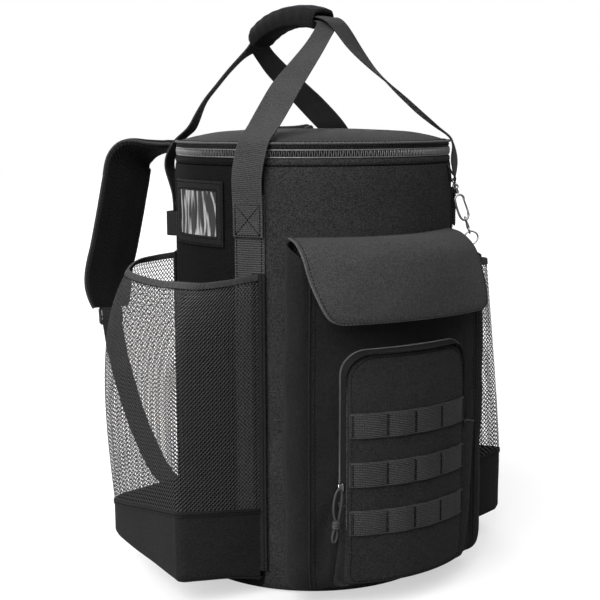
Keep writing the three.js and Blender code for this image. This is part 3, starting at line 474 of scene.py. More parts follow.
# Columns: x and y at the foot, x and y at the rim, and the heights of foot, net border and rim
SIDE_LINE = [
    (127.9, -94.8, 127.9, -94.8, 17, 93, 341),
    (163, -92.5, 157, -91, 24, 97, 337.5),
    (198, -87.2, 182, -85, 27, 100, 335.5),
    (215.5, -81, 192, -79, 27.5, 101, 335.5),
    (218, -68, 196.5, -65, 28.5, 99, 335),
    (218.5, -20, 198.5, -20, 30, 90, 331.5),
    (218.5, 28, 199.5, 24, 30, 80, 331),
    (216, 78, 198.5, 60, 30, 70, 332.5),
    (210, 89, 193, 76, 30, 69, 335.5),
    (197, 94, 178, 83, 28, 70, 342.5),
    (162, 92, 154, 89.5, 23, 74, 345),
    (132, 89, 132, 89, 17, 78, 347),
]
SEAM_FRONT, SEAM_BACK, TAPE_HALF_ANGLE, TAPE_FACE = 53.5, 124.0, 2.5, 158.7
# Columns: how late the wall leans in, how far the rim draws in and how far the net bellies out
LEAN = {"left": (7.0, 0.0, 7.0), "right": (1.2, 2.0, 0.0)}
# Columns: height from the border and inset
HEM_PROFILE = [(-4.5, -0.5), (-3.6, -0.9), (0.5, -1.0), (1.6, -0.8), (2.0, -0.3)]
# Columns: share of the rim's height and how far it stands out
RIM_PROFILE = [(0.0, -0.2), (0.06, 0.7), (0.25, 1.0), (0.5, 0.85), (0.75, 1.0), (0.94, 0.7), (1.0, -0.2)]
RIM_TALL, GATHER_PITCH = 7.0, 8.5
NET_PITCH = {"left": 4.5, "right": 5.4}
NET_STRAND = {"left": 0.95, "right": 1.1}
CLOTH = 1.8
# Added to the lay of the strands that lean one way, so that the net's material tells them apart and paints
# them dark as painted shade, while the other strands get a painted highlight
SHADED_YARN_SHIFT = 10.0

POCKET_CLOTH = oxford("pocket_cloth", 0.006, 0.017, warm=0.03)
BINDING = webbing("rim_binding", 0.02, 0.075, rib=1.1, width=400.0)

NET_YARN = Finish("net_yarn", "net")
u, v = NET_YARN.lay()
ply = (v * 4.2 + u * 3.0).wave()
fuzz = NET_YARN.cloud(3.0, 2.0)
twist = ply * 0.25 + fuzz * 0.6
# Painted light: strands of one lean get a lighter tone as painted highlight, those of the other lean a dark
# tone as painted shade.
painted_highlight_yarn, painted_shade_yarn = NET_YARN.tones(twist, 0.025, 0.15), NET_YARN.tones(twist, 0.003, 0.013)
NET_YARN.show(Base_Color=NET_YARN.blend(u.past(SHADED_YARN_SHIFT / 2), painted_highlight_yarn, painted_shade_yarn), Roughness=0.45 + fuzz * 0.2)
NET_YARN.show(Sheen_Weight=0.04, Specular_IOR_Level=0.4)
NET_YARN.relief(ply, 0.12, 0.7)


def side_wall(line, side, sign, heights, inset=0.0):
    """Points of a side pocket's wall, one at a height for each row of its line."""
    x, y, rim_x, rim_y, low, border, rim = line.T
    power, draw, belly = LEAN[side]
    height = ramp(heights, border, rim)
    middle = np.sin(np.linspace(0, math.pi, len(line)))
    swell = belly * middle * np.sin(math.pi * height)
    share = height**power
    plan_x = x + (rim_x - draw * middle - x) * share + swell
    plan_y = y + (rim_y - y) * share + swell * y / 95
    along = unit(np.gradient(line[:, :2], axis=0))
    return np.stack([sign * (plan_x - along[:, 1] * inset), plan_y + along[:, 0] * inset,
                     np.broadcast_to(heights, plan_x.shape)], -1)


def on_grid(values, column, row):
    """Values of a grid at places between its columns and rows."""
    c = np.minimum(column.astype(int), values.shape[1] - 2)
    r = np.minimum(row.astype(int), values.shape[0] - 2)
    across, up = (column - c)[..., None], (row - r)[..., None]
    low = values[r, c] * (1 - across) + values[r, c + 1] * across
    high = values[r + 1, c] * (1 - across) + values[r + 1, c + 1] * across
    return low * (1 - up) + high * up


def strand(surface, away, run, rise, start, lean, pitch, thick):
    """One net strand that climbs from a start on the lower edge, with its lay, or None off the net."""
    climb = np.arange(0, rise + pitch / 2, pitch / 2)
    across = start + lean * climb
    kept = (across >= 0) & (across <= run[-1])
    if kept.sum() < 3:
        return None
    climb = np.minimum(climb[kept], rise)
    column = np.interp(across[kept], run, np.arange(len(run)))
    row = np.clip(climb / rise, 0, 1) * (len(surface) - 1)
    proud = unit(on_grid(away, column, row))
    over = lean * 0.28 * np.cos(math.pi * np.arange(len(climb)))[:, None]
    spot = on_grid(surface, column, row) + proud * over
    knot = 1 + 0.25 * np.cos(ROUND * climb / pitch)[:, None]
    edge = np.cross(unit(np.gradient(spot, axis=0)), proud) * thick / 2 * knot
    # Strands that lean one way are shifted in their lay, so that their yarn is painted as shaded.
    width = np.array([0, 0.6, 1.2]) + (SHADED_YARN_SHIFT if lean > 0 else 0.0)
    return np.stack([spot - edge, spot + proud * 0.38, spot + edge], 1), ruled(width, climb * 1.41)


for side, sign in SIDES:
    line = eased(SIDE_LINE, 122)
    low, border, rim = line.T[4:]
    heart = (sign * 165, 0, 150)
    wall = partial(side_wall, line, side, sign)

    floor_edge = polar(sign * np.linspace(SEAM_FRONT, SEAM_BACK, len(line)), 152.2, 16.0)
    folds = [floor_edge + (wall(low) - floor_edge) * t for t in (0, 0.3, 0.6, 0.88, 0.97)]
    folds += [wall(low + t, 2.6 * (1 - t / 5) ** 2) for t in (0.9, 2.6, 5.0)]
    folds += [wall(low + 5 + (border - low - 5) * t) for t in np.linspace(0.12, 1, 10)]
    base = np.stack(folds)
    sag = ramp(base[..., 2], 32, 52) * ramp(base[..., 2], border, border - 12)
    base -= grid_normals(base) * (sag * slack(base, 95, 1.0, 2.0))[..., None] * sign
    cloth_tub = Pattern().sheet(base, CLOTH, heart)
    cloth_tub.piece(f"side_pocket_tub_{side}", POCKET_CLOTH, f"side_pocket_base_{side}")

    hem = np.stack([wall(border + t, inset) for t, inset in HEM_PROFILE])
    Pattern().sheet(hem, 0.5, heart).piece(f"side_pocket_seam_{side}", POCKET_CLOTH)
    rows = Pattern().stitches(wall(border - 1.6, -1.0), outward(hem, heart)[2], 3.8)

    top = rim - RIM_TALL
    surface = np.stack([wall(border + (top - border) * t, 0.5) for t in np.linspace(0, 1, 60)])
    run, rise = run_of(surface[30]), float(np.mean(top - border))
    knit = partial(strand, surface, outward(surface, heart), run, rise)
    net = Pattern()
    for lean, first, last in ((-1, 0.0, run[-1] + rise), (1, -rise, run[-1])):
        for start in np.arange(first, last, NET_PITCH[side]):
            made = knit(start, lean, NET_PITCH[side], NET_STRAND[side])
            if made:
                net.grid(*made)
    net.piece(f"side_pocket_net_{side}", NET_YARN, f"side_pocket_mesh_{side}", crease=80)

    gather = 0.35 * np.sin(np.linspace(0, run[-1] * ROUND / GATHER_PITCH, len(line)))
    rim_face = np.stack([wall(top + RIM_TALL * t, -b - gather * (b > 0)) for t, b in RIM_PROFILE])
    bound = Pattern().sheet(rim_face, 2.6, heart)
    bound.piece(f"side_pocket_binding_{side}", BINDING, f"side_pocket_rim_{side}")
    rim_out = outward(rim_face, heart)[3]
    rows.stitches(rim_face[1] + rim_out * 0.1, rim_out, 3.4)

    for end, angle, tall, thick in (("front", SEAM_FRONT, 341, 1.3), ("back", SEAM_BACK, 347, 3.6)):
        spread = np.linspace(-TAPE_HALF_ANGLE, TAPE_HALF_ANGLE, 7)
        heights = np.linspace(STRIP_LOW, tall, 60)
        face = polar(sign * angle + spread, TAPE_FACE + 0.25 * np.cos(spread), heights[:, None])
        tape = Pattern().sheet(face, thick, (0, 0, 200))
        tape.piece(f"side_pocket_tape_{end}_{side}", POCKET_CLOTH, f"side_pocket_edge_{end}_{side}")
        for place in (-0.62, 0.62):
            row_line = polar(sign * angle + place * TAPE_HALF_ANGLE, TAPE_FACE + 0.25, heights)
            rows.stitches(row_line, polar(sign * angle, 1, 0), 4.2, gap=1.2)
    rows.piece(f"side_pocket_stitches_{side}", THREAD)


# Side loops
# A short loop of webbing on each side that stands off the tub, with both ends sewn down.

# Columns: angle and radius
LOOP_LINE = [(103.2, 156.9), (105.2, 157.0), (106.8, 160.9), (108.6, 164.9), (111, 164.9), (112.8, 160.9),
             (114.2, 157.0), (116, 156.9)]
LOOP_MIDDLE, LOOP_TALL = 383.5, 25.4
LOOP_WEB = webbing("loop_webbing", 0.003, 0.016, width=LOOP_TALL)
bend = eased(LOOP_LINE, 40)
heights = LOOP_MIDDLE + LOOP_TALL * np.linspace(-0.5, 0.5, 9)
for side, sign in SIDES:
    loop = Pattern().sheet(polar(sign * bend[:, :1], bend[:, 1:], heights), 1.3, (0, 0, LOOP_MIDDLE))
    loop.piece(f"webbing_loop_{side}", LOOP_WEB, f"side_loop_{side}")


# Card window
# A sewn cloth frame on the left side that holds a clear soft sheet over a card slot. The sheet is
# creased, and the light it catches in streaks along the creases is painted into its colour as painted
# highlights.

# Columns: near and far angle, low and high edge
CARD_EDGE, WINDOW_EDGE = (-69.0, -102.2, 366.0, 433.0), (-72.4, -97.8, 376.0, 423.0)
CARD_HEART, WINDOW_FACE = (0, 0, 400), 156.3
DARK_CLOTH = oxford("side_cloth", 0.005, 0.014, "dark_cloth")


def card_ring(share, radius):
    """A ring on the tub, from the frame's outer edge at share 0 to the window's edge at share 1."""
    near, far, low, high = (a + (b - a) * share for a, b in zip(CARD_EDGE, WINDOW_EDGE))
    across, up = np.linspace(near, far, 24), np.linspace(low, high, 24)
    sides = [(across, low), (far, up), (across[::-1], high), (near, up[::-1])]
    return np.concatenate([polar(angle, radius, height)[:-1] for angle, height in sides])


frame_rings = [card_ring(*ring) for ring in ((0, 157.1), (0.12, 157.4), (0.88, 157.5), (1, 157.1))]
Pattern().sheet(np.stack(frame_rings), 1.7, CARD_HEART, ring=True).piece("card_frame", DARK_CLOTH, "id_frame")
rows = Pattern()
for share in (0.2, 0.82):
    ring = closed(card_ring(share, 157.55))
    rows.stitches(ring, ring * (1, 1, 0), 3.6)
rows.piece("card_frame_stitches", THREAD)

CLEAR = Finish("clear_sheet", "clear_sheet")
u, v = CLEAR.lay()
crease = CLEAR.streaks(u * 0.085 + (v * 0.07 + 0.6).wave() * 0.1, v * 0.012)
streak = abs(crease - 0.5) * 15.0
# Painted highlight: bright streaks along the creases are painted into the sheet's colour.
glint = (1 - streak).at_least(0.0)
CLEAR.show(Base_Color=CLEAR.tones(glint, 0.028, 0.4), Roughness=0.2 + streak * 0.05)
CLEAR.show(Coat_Weight=0.3, Coat_Roughness=0.1, Specular_IOR_Level=0.4)
CLEAR.relief(crease, 2.5, 0.9)
near, far, low, high = WINDOW_EDGE
across = np.linspace(near - 0.3, far + 0.3, 60)
up = np.linspace(low + 0.4, high - 0.4, 44)[:, None]
fold = 0.35 * np.sin(across * 0.62 + 0.5 * np.sin(up * 0.09)) + 0.25 * np.sin(across * 1.31 + up * 0.05)
window = Pattern().sheet(polar(across, WINDOW_FACE + fold, up), 0.5, CARD_HEART)
window.piece("card_window", CLEAR, "id_window")


# Front pocket
# A boxed pocket of the same cloth. Its side gussets bulge, the seams between gusset and face are
# turned out and top stitched, and the slack cloth folds into pleats low down.

FACE_DEPTH, FACE_CURVE, FACE_SEAM = 181.0, 276.0, 108.0
# Columns: x and y
GUSSET = [(103.5, -117), (111.5, -122.3), (118, -129), (123, -136.5), (125, -144), (123.6, -150.5),
          (120, -155), (114.4, -158), (FACE_SEAM, -159.2)]
GUSSET_LIFT = [30, 30, 27, 19, 8]
POCKET_LOW, POCKET_HIGH, POCKET_HEART = 20.0, 345.0, (0, -100, 180)
# Columns: height and how far the walls lie in there
FOOT_INSET = [(POCKET_LOW, 10), (20.6, 8), (22, 5.6), (24.5, 3.4), (28, 1.7), (33, 0.6), (40, 0)]
TOP_INSET = [(240, 0), (POCKET_HIGH, 3)]
# Columns: x, low end, high end, width and depth
PLEATS = [(-92, 28, 112, 4.5, 1.8), (-99, 24, 90, 3.5, 1.4), (95, 26, 176, 4, 2), (104, 26, 176, 3.6, 1.6)]
FRONT_CLOTH = oxford("front_pocket_cloth", 0.005, 0.016)


def bowed(depth, curve, x):
    """How far forward a bowed face of that depth lies at x."""
    return curve - depth - np.sqrt(curve**2 - x**2)


pocket_face = partial(bowed, FACE_DEPTH, FACE_CURVE)
gusset = eased(GUSSET, 33)
face_x = np.linspace(FACE_SEAM, 0, 41)[1:]
half = np.vstack([gusset, np.stack([face_x, pocket_face(face_x)], -1)])
half_lift = np.append(np.interp(np.linspace(0, 4, 33), range(5), GUSSET_LIFT), np.clip(face_x - 98, 0, 8))
plan = np.vstack([half * (-1, 1), half[-2::-1]])
lift = np.append(half_lift, 0.25 * half_lift[-2::-1])
tall = np.append([z for z, inset in FOOT_INSET], np.linspace(48, POCKET_HIGH, 56))
inset = np.interp(tall, *np.transpose(FOOT_INSET + TOP_INSET))[:, None]
core = np.array(POCKET_HEART[:2])
share = 1 - inset / np.linalg.norm(plan - core, axis=1)
walls = core + (plan - core) * share[..., None]
walls[:, [0, -1]] = plan[[0, -1]]
wall_heights = tall[:, None] + lift * ramp(tall, POCKET_LOW, POCKET_HIGH)[:, None] ** 6
pocket_walls = np.concatenate([walls, wall_heights[..., None]], -1)

x, z = walls[..., 0], wall_heights
under_zip = ramp(np.abs(x), 84, 76) * ramp(z, 272, 264)
loose = ramp(z, 30, 50) * ramp(z, 340, 320) * np.clip(np.abs(x), 0, 1)
loose *= ramp(np.abs(np.abs(x) - FACE_SEAM), 0, 9)
loose[:, [0, 1, -2, -1]] = 0
move = slack(pocket_walls, 120, 1.8, 4.0) + slack(pocket_walls, 46, 0.5, 1.0)
for at_x, low, high, wide, deep in PLEATS:
    ends = ramp(z, low, low + 18) * ramp(z, high, high - 14)
    move -= deep * np.exp(-((x - at_x - 0.03 * (z - 90)) / wide) ** 2) * ends
move *= loose
move = np.where(under_zip > 0.01, np.minimum(move, 0) * (1 - 0.5 * under_zip), move)
away = outward(pocket_walls, POCKET_HEART)
pocket_walls += away * move[..., None]
floor_edge = polar(np.degrees(np.arctan2(plan[:, 0], -plan[:, 1])), 156.0, 17.0)
floor = np.stack([floor_edge + (pocket_walls[0] - floor_edge) * t for t in (0, 0.35, 0.7)])
pocket = Pattern().sheet(np.concatenate([floor, pocket_walls]), CLOTH, POCKET_HEART)
pocket.piece("front_pocket_shell", FRONT_CLOTH, "front_pocket")


def up_face(x):
    """The line up the pocket nearest to this x on its face, and the way the cloth faces there."""
    column = int(np.argmin(np.abs(plan[:, 0] - x) + 50 * (plan[:, 1] > -150)))
    return pocket_walls[3:-1, column], away[3:-1, column]


rows, piping = Pattern(), Pattern()
for sign in (-1, 1):
    line, out = up_face(sign * FACE_SEAM)
    piping.tube(line + out * 0.35, 1.05, 8)
    line, out = up_face(sign * (FACE_SEAM - 5.4))
    rows.stitches(line + out * 0.1, out, 4.2, gap=1.1)
piping.piece("front_pocket_seams", FRONT_CLOTH)
rows.piece("front_pocket_stitches", THREAD)


# Zipped pocket
# A shallow pocket on the front pocket's face, with a curved padded front and a narrow gusset.
# A coil zip runs up its left side, over the top and part of the way down the right.

ZIP_DEPTH, ZIP_CURVE = 199.0, 165.0
ZIP_HALF, ZIP_BACK_HALF, LEFT_WIDER = 72.0, 74.5, 1.055
ZIP_LOW, ZIP_HIGH = 24.0, 268.0
ZIP_MIDDLE, ZIP_TALL = (ZIP_LOW + ZIP_HIGH) / 2, (ZIP_HIGH - ZIP_LOW) / 2
TOP_ROUND, LOW_ROUND = 24.0, 7.0
ZIP_LEFT_END, ZIP_RIGHT_END = 125.0, 170.0
# Columns: height and how far the bellows stand out there
SLACK_LEFT = [(24, 10), (50, 7), (74, 3.4), (112, 2.4), (124, 0)]
SLACK_RIGHT = [(24, 8), (40, 11), (90, 15), (165, 18), (177, 18), (178.5, 0)]
PADDED_CLOTH = oxford("padded_cloth", 0.007, 0.025)
# A lighter cloth for a cord along part of the padded front's edge, standing in for the highlight there:
# painted highlight.
SEAM_HIGHLIGHT = oxford("zip_seam_painted_highlight", 0.025, 0.075)
TAPE = oxford("zip_tape", 0.003, 0.01, "zip_coil", thread=1.2)
COIL = Finish("zip_coil", "zip_coil")
u, v = COIL.lay()
gloss = COIL.cloud(4.0, 2.0)
COIL.show(Base_Color=COIL.tones(gloss, 0.05, 0.22), Roughness=0.3 + gloss * 0.15, Specular_IOR_Level=0.6)
COIL.relief((u * 3.0).wave() + gloss, 0.06, 0.6)
zip_face = partial(bowed, ZIP_DEPTH, ZIP_CURVE)


def zip_ring(wide, tall, depth, back=0.0, share=1.0):
    """A ring round the pocket, anticlockwise from its lower right corner, on a bowed face."""
    corners = []
    for sx, sz, corner, start in ((1, -1, LOW_ROUND, -90), (1, 1, TOP_ROUND, 0), (-1, 1, TOP_ROUND, 90),
                                  (-1, -1, LOW_ROUND, 180)):
        turn = np.radians(np.linspace(start, start + 90, 13))
        corners.append(np.stack([sx * (wide - corner) + corner * np.cos(turn),
                                 sz * (tall - corner) + corner * np.sin(turn)], -1))
    loop = closed(np.vstack(corners))
    run = run_of(loop)
    x, z = share * at_run(loop, run, np.linspace(0, run[-1], 240, endpoint=False)).T
    x = np.where(x < 0, x * LEFT_WIDER, x)
    return np.stack([x, depth(x) + back, ZIP_MIDDLE + z], -1)


def padded(points, share=1.0):
    """The points set back near the top and bottom, as the padded front is."""
    z = points[..., 2]
    back = 5.5 * ramp(z, 206, 266) ** 2 + 3.5 * ramp(z, 80, ZIP_LOW) ** 2
    return points + (share * back)[..., None] * (0, 1, 0)


def nearest(row, x, z):
    return row[np.argmin(np.hypot(row[:, 0] - x, row[:, 2] - z))]


rings = [zip_ring(ZIP_BACK_HALF, ZIP_TALL, pocket_face, -0.8)]
edge = zip_ring(ZIP_HALF + 0.6, ZIP_TALL - 2.4, zip_face, 3.2)
for t in (0.12, 0.26, 0.4, 0.55, 0.7, 0.85, 1.0):
    row = rings[0] + (edge - rings[0]) * t
    x, z = row[:, 0], row[:, 2]
    out_left = ramp(x, -60, -68) * np.interp(z, *np.transpose(SLACK_LEFT))
    out_right = ramp(x, 60, 68) * np.interp(z, *np.transpose(SLACK_RIGHT))
    row[:, 0] += (out_right - out_left) * math.sin(math.pi * t) ** 0.6
    rings.append(row)
rings += [zip_ring(ZIP_HALF - inset, ZIP_TALL - 3 - inset, zip_face, back)
          for inset, back in ((0.0, 1.5), (1.2, 0.55), (3.0, 0.1))]
rings += [zip_ring(ZIP_HALF - 3, ZIP_TALL - 6, zip_face, share=s) for s in np.linspace(0.95, 0.04, 26)]
order = np.arange(len(rings))[:, None]
front = padded(np.stack(rings), ramp(order, 0, 7))
front[..., 1] += ramp(order, 10, 14) * np.maximum(0, 0.35 + slack(front, 80, 0.8, 3.0))
lay = front[..., [0, 2]]
lay = np.concatenate([lay, lay[:, :1]], 1)
shell = Pattern().sheet(front, CLOTH, (0, -150, ZIP_MIDDLE), ring=True, lay=lay)
shell.piece("zip_pocket_shell", PADDED_CLOTH, "zip_pocket")

right_hem = np.array([nearest(row, row[:, 0].max(), 176.5) for row in rings[:8]])
left_hem = np.array([nearest(row, row[:, 0].min(), 112) for row in rings[:8]])
bellows = Pattern().tube(right_hem + (0.4, 0, 0.4), 1.0, 8).tube(left_hem - (0.4, 0, 0), 0.9, 8)
bellows.piece("zip_pocket_bellows_hem", BINDING)
# Painted highlight: a lighter cord only along the left side and top of the padded front's edge, where the
# light catches it.
ridge = padded(zip_ring(ZIP_HALF + 0.1, ZIP_TALL - 2.9, zip_face, 1.3))
ridge = ridge[(ridge[:, 2] > 84) & (ridge[:, 0] < 50)]
Pattern().tube(ridge, 0.75, 8).piece("zip_pocket_seam_painted_highlight", SEAM_HIGHLIGHT)
trim = closed(padded(zip_ring(ZIP_HALF - 3.6, ZIP_TALL - 6.6, zip_face)))
Pattern().stitches(trim, (0, -1, 0), 4.0).piece("zip_pocket_stitches", THREAD)

outer = zip_ring(ZIP_BACK_HALF + 1.5, ZIP_TALL + 1.5, pocket_face, -0.8)
zipped = outer[:, 2] > np.where(outer[:, 0] > 0, ZIP_RIGHT_END, ZIP_LEFT_END)
zip_back = zip_ring(ZIP_BACK_HALF + 0.6, ZIP_TALL + 0.6, pocket_face, -0.8)[zipped]
zip_deep = zip_ring(ZIP_HALF + 0.6, ZIP_TALL - 2.4, zip_face)[zipped] - zip_back
heart = np.array((0, -188, ZIP_MIDDLE))
tape_face = np.stack([zip_back + zip_deep * t for t in (0.1, 0.36, 0.64, 0.9)])
tape = Pattern().sheet(tape_face + outward(tape_face, heart) * 0.9, 0.8, heart)
tape.piece("zip_pocket_tape", TAPE, "zip_pocket_zipper")
coil_line = even(zip_back + zip_deep * 0.2, 0.9)
coil_out = unit((coil_line - heart) * (1, 0, 1))
coil_across = unit(zip_deep.mean(0) * (0, 1, 0))
beat = np.where(np.arange(len(coil_line)) % 2, 1, -1)[:, None]
teeth = coil_line + coil_out * 1.3 + coil_across * beat * 0.55
slant = coil_across + 0.18 * beat * np.gradient(coil_line, axis=0)
coil = Pattern().bars(teeth, slant, coil_out, length=2.4, width=0.7, height=0.7)
coil.piece("zip_pocket_coil", COIL)


# Ladder webbing
# Three rows of webbing sewn flat across the zipped pocket, tacked down in columns so that clips
# can hook behind them.

BAND_TALL, BAND_LOWS, BAND_LEFT, BAND_RIGHT = 25.4, (181.0, 130.5, 80.2), -74.5, 70.5
TACK_PLACES = (-73.0, -37.5, -5.5, 30.0, 69.0)
BAND_WEB = webbing("band_webbing", 0.005, 0.062, rib=1.8, width=400.0)
rows = Pattern()
for number, low in enumerate(BAND_LOWS, 1):
    x = np.linspace(BAND_LEFT, BAND_RIGHT, 120)
    up = np.linspace(0, BAND_TALL, 11)
    near_tack = np.min(np.abs(x[:, None] - TACK_PLACES), axis=1)
    proud = 1.3 + 1.3 * np.sin(ramp(near_tack, 0, 14) * math.pi / 2)
    turned_in = 0.25 * np.abs(2 * up / BAND_TALL - 1)[:, None] ** 6
    face = np.stack(np.broadcast_arrays(x, zip_face(x) - proud + turned_in, low + up[:, None]), -1)
    band = Pattern().sheet(face, 1.2, (0, -100, low), lay=ruled(x, up))
    band.piece(f"ladder_band_{number}", BAND_WEB, f"webbing_band_{number}")
    for place in np.clip(TACK_PLACES, -72, 68):
        for tack in (place - 0.7, place + 0.7):
            ends = [(tack, zip_face(tack) - 1.5, low + z) for z in (1.5, BAND_TALL - 1.5)]
            rows.stitches(np.array(ends), (0, -1, 0), 2.2, gap=0.2, width=1.2, height=0.5)
rows.piece("ladder_stitches", THREAD)


# Zip slider and cord pull
# A small cast slider at the lower left end of the zip. Its pull is a thin braided cord that passes
# through the slider's eye and is knotted, with the tail left as a small loop.

NICKEL = Finish("dull_nickel", "metal")
scuff = NICKEL.cloud(6.0, 5.0, 0.7)
NICKEL.show(Base_Color=NICKEL.tones(scuff, 0.2, 0.5), Roughness=0.12 + scuff * 0.2, Metallic=1.0)
NICKEL.relief(scuff, 0.05, 0.4)

BRAID = Finish("braided_cord", "cord")
u, v = BRAID.lay()
plait = (v * 3.4 + u * 2.5).wave() * (v * 3.4 - u * 2.5).wave()
BRAID.show(Base_Color=BRAID.tones(plait * 0.4 + 0.5, 0.015, 0.06), Roughness=0.7 + plait * 0.08)
BRAID.relief(plait, 0.15, 0.9)

SLIDER = np.array([-80.6, -176.0, 131.0])
BRIDGE = [(-82.6, -176, 135.2), (-84.4, -177.2, 134.2), (-84.9, -178.4, 131.6), (-84.2, -178.0, 128.8),
          (-82.4, -176.4, 127.6)]
PULL = [(-82.2, -180.6, 100), (-81.6, -181, 112), (-81.8, -181, 122), (-83.4, -181, 129),
        (-87.2, -181.2, 131), (-90.4, -181.4, 126), (-91, -181.4, 116), (-89, -180.8, 106),
        (-86.4, -180.6, 100)]
PULL_TAIL = [(-85.4, -180.6, 92), (-87.2, -180.6, 84), (-86.2, -180.6, 78.4), (-84.4, -180.6, 77),
             (-82.6, -180.6, 78.4), (-81.6, -180.6, 84), (-83.2, -180.6, 92)]
KNOT_HEART = [(-89.2, -180.6, 98.6), (-89.7, -180.4, 95), (-90.3, -180.6, 91)]
KNOT_TURNS, PULL_LEAN, CORD_RADIUS = 3, 0.15, 1.2


def rounded_box(pattern, middle, size, corner):
    """A small block with softened corners."""
    half = np.array(size) / 2
    square = np.stack(circle(24), -1)
    square = np.sign(square) * np.abs(square) ** 0.35
    rim, shoulder = 1 - corner / half[:2], 1 - corner / half[2]
    levels = [(-1, 0.0), (-1, rim), (-shoulder, 1.0), (shoulder, 1.0), (1, rim), (1, 0.0)]
    loops = [np.column_stack([square * scale, np.full(24, level)]) for level, scale in levels]
    pattern.grid(middle + np.stack(loops) * half, np.zeros((6, 25, 2)), ring=True)


def leaning(line):
    """The line swung to the left below the slider, as the cord hangs."""
    return line - PULL_LEAN * np.maximum(0, SLIDER[2] - line[:, 2:]) * (1, 0, 0)


slider = Pattern()
rounded_box(slider, SLIDER + (0.2, 0, 0), (2.6, 6.0, 9.0), 0.7)
rounded_box(slider, SLIDER + (-2.0, 0, 0.4), (2.0, 5.4, 7.0), 0.6)
slider.tube(eased(BRIDGE, 24), 0.7, 8).piece("zip_slider_body", NICKEL, "zip_slider")
pull_line = leaning(even(eased(PULL, 120), 1.0))
pull_cord = Pattern().tube(pull_line, CORD_RADIUS, 12).piece("zip_pull", BRAID, "zip_pull_cord")
turns = np.linspace(0, 1, 90)
cos, sin = np.cos(ROUND * KNOT_TURNS * turns), np.sin(ROUND * KNOT_TURNS * turns)
wrap = np.stack([-84.3 + 3.1 * cos, -180.6 + 2.2 * sin, 98.2 - 7.2 * turns], -1)
knot = Pattern().tube(leaning(wrap), 1.35).tube(eased(KNOT_HEART, 14), 2.4)
knot.tube(leaning(eased(PULL_TAIL, 60)), CORD_RADIUS, 12)
knot_piece = knot.piece("zip_pull_knotted_end", BRAID, "zip_pull_knot")
tuple(pull_line[0] / 1000)
(pull_line / 1000).tolist()


# Flap
# One shaped sheet of cloth, hinged in a seam on the tub, that swells over the pocket's mouth. Its
# cut edge is bound and stitched a little way in.

# Columns: x, y and z at the sides, and y and z at the middle
FLAP_ROWS = [
    (105, -118.5, 379, -157.8, 379),
    (109, -138, 374.5, -177, 376),
    (112, -156, 361, -192, 364),
    (112, -167, 342, -200, 344),
    (108.5, -178, 322, -204.5, 322),
    (104, -185, 308.5, -206, 307),
    (98.5, -188.5, 302.5, -206, 302),
    (90, -191.5, 299.5, -205.6, 299),
]
FLAP_HEART = (0, -120, 330)
FLAP_CLOTH = oxford("flap_cloth", 0.02, 0.052, "flap_cloth", sheen=0.05)
EDGE_TRIM = oxford("flap_edge", 0.05, 0.1, "flap_cloth")
side_x, side_y, side_z, middle_y, middle_z = eased(FLAP_ROWS, 64).T[..., None]
across = np.linspace(-1, 1, 81)
right_in = 1 - np.linspace(0.068, 0.025, 64)[:, None] * (across > 0)
flap_face = np.stack([across * side_x * right_in, middle_y + (side_y - middle_y) * across**2,
                      middle_z + (side_z - middle_z) * across**2], -1)
flap_out = outward(flap_face, FLAP_HEART)
free = ramp(np.linspace(0, 1, 64), 0, 0.4)[:, None]
flap_face += flap_out * (free * np.maximum(-0.4, slack(flap_face, 110, 1.1, 6.0)))[..., None]
flap_piece = Pattern().sheet(flap_face, 1.9, FLAP_HEART).piece("pocket_flap", FLAP_CLOTH, "front_flap")


def flap_rim(values, inset):
    """Values of the flap's grid down one side, along its lower edge and up the other side."""
    last, right = len(values) - 1 - inset, values.shape[1] - 1 - inset
    return np.vstack([values[:last, inset], values[last, inset:right + 1], values[:last, right][::-1]])


edging = Pattern().tube(flap_rim(flap_face, 0) - flap_rim(flap_out, 0) * 0.95, 1.15, 8)
edging.piece("flap_edging", EDGE_TRIM)
row_out = flap_rim(flap_out, 1)
rows = Pattern().stitches(flap_rim(flap_face, 1) + row_out * 0.1, row_out, 4.0, width=0.8)
rows.piece("flap_stitches", THREAD)


# Mouth band and lid zip
# A turned cloth band closes the tub's edge. Above it a heavy coil zip joins the tub to the lid
# round the front and sides, and plain cloth hinges the lid at the back.

MOUTH_RADIUS, ZIP_END, ZIP_MID, TOOTH_PITCH = 151.5, 122.0, 461.9, 2.35
SLIDER_ANGLE, MOUTH_HEART = 112.0, (0, 0, 460)
# Columns: height and radius
BAND_PROFILE = [(449.4, 148.7), (449.3, 151.4), (450.2, 152.4), (452.6, 153), (455.4, 152.7), (456.6, 151.8),
                (457, 150.7), (457, 148.7)]
TAPE_PROFILE = [(457.4, 151.2), (458.6, 151.5), (ZIP_MID, 151.3), (465.4, 151.5), (466.7, 151.2)]
EYE_PROFILE = [(465, 154.5), (463.4, 157.1), (460.4, 156.7), (459.2, 154.5)]
# Columns: height, share of the width and radius
SLIDER_PROFILE = [(457.9, 0.7, 153.5), (459.2, 1.0, 154.4), (462.0, 0.85, 154.8), (464.8, 1.0, 154.4),
                  (466.2, 0.7, 153.5)]
Pattern().grid(turned(closed(BAND_PROFILE)), ring=True).piece("mouth_band", TUB_CLOTH, "rim_band")
around = np.linspace(-178, 180, 180)
facing = polar(around, 1, 0)
Pattern().stitches(polar(around, 152.6, 450.4), facing, 4.2, gap=1.1).piece("mouth_stitches", THREAD)

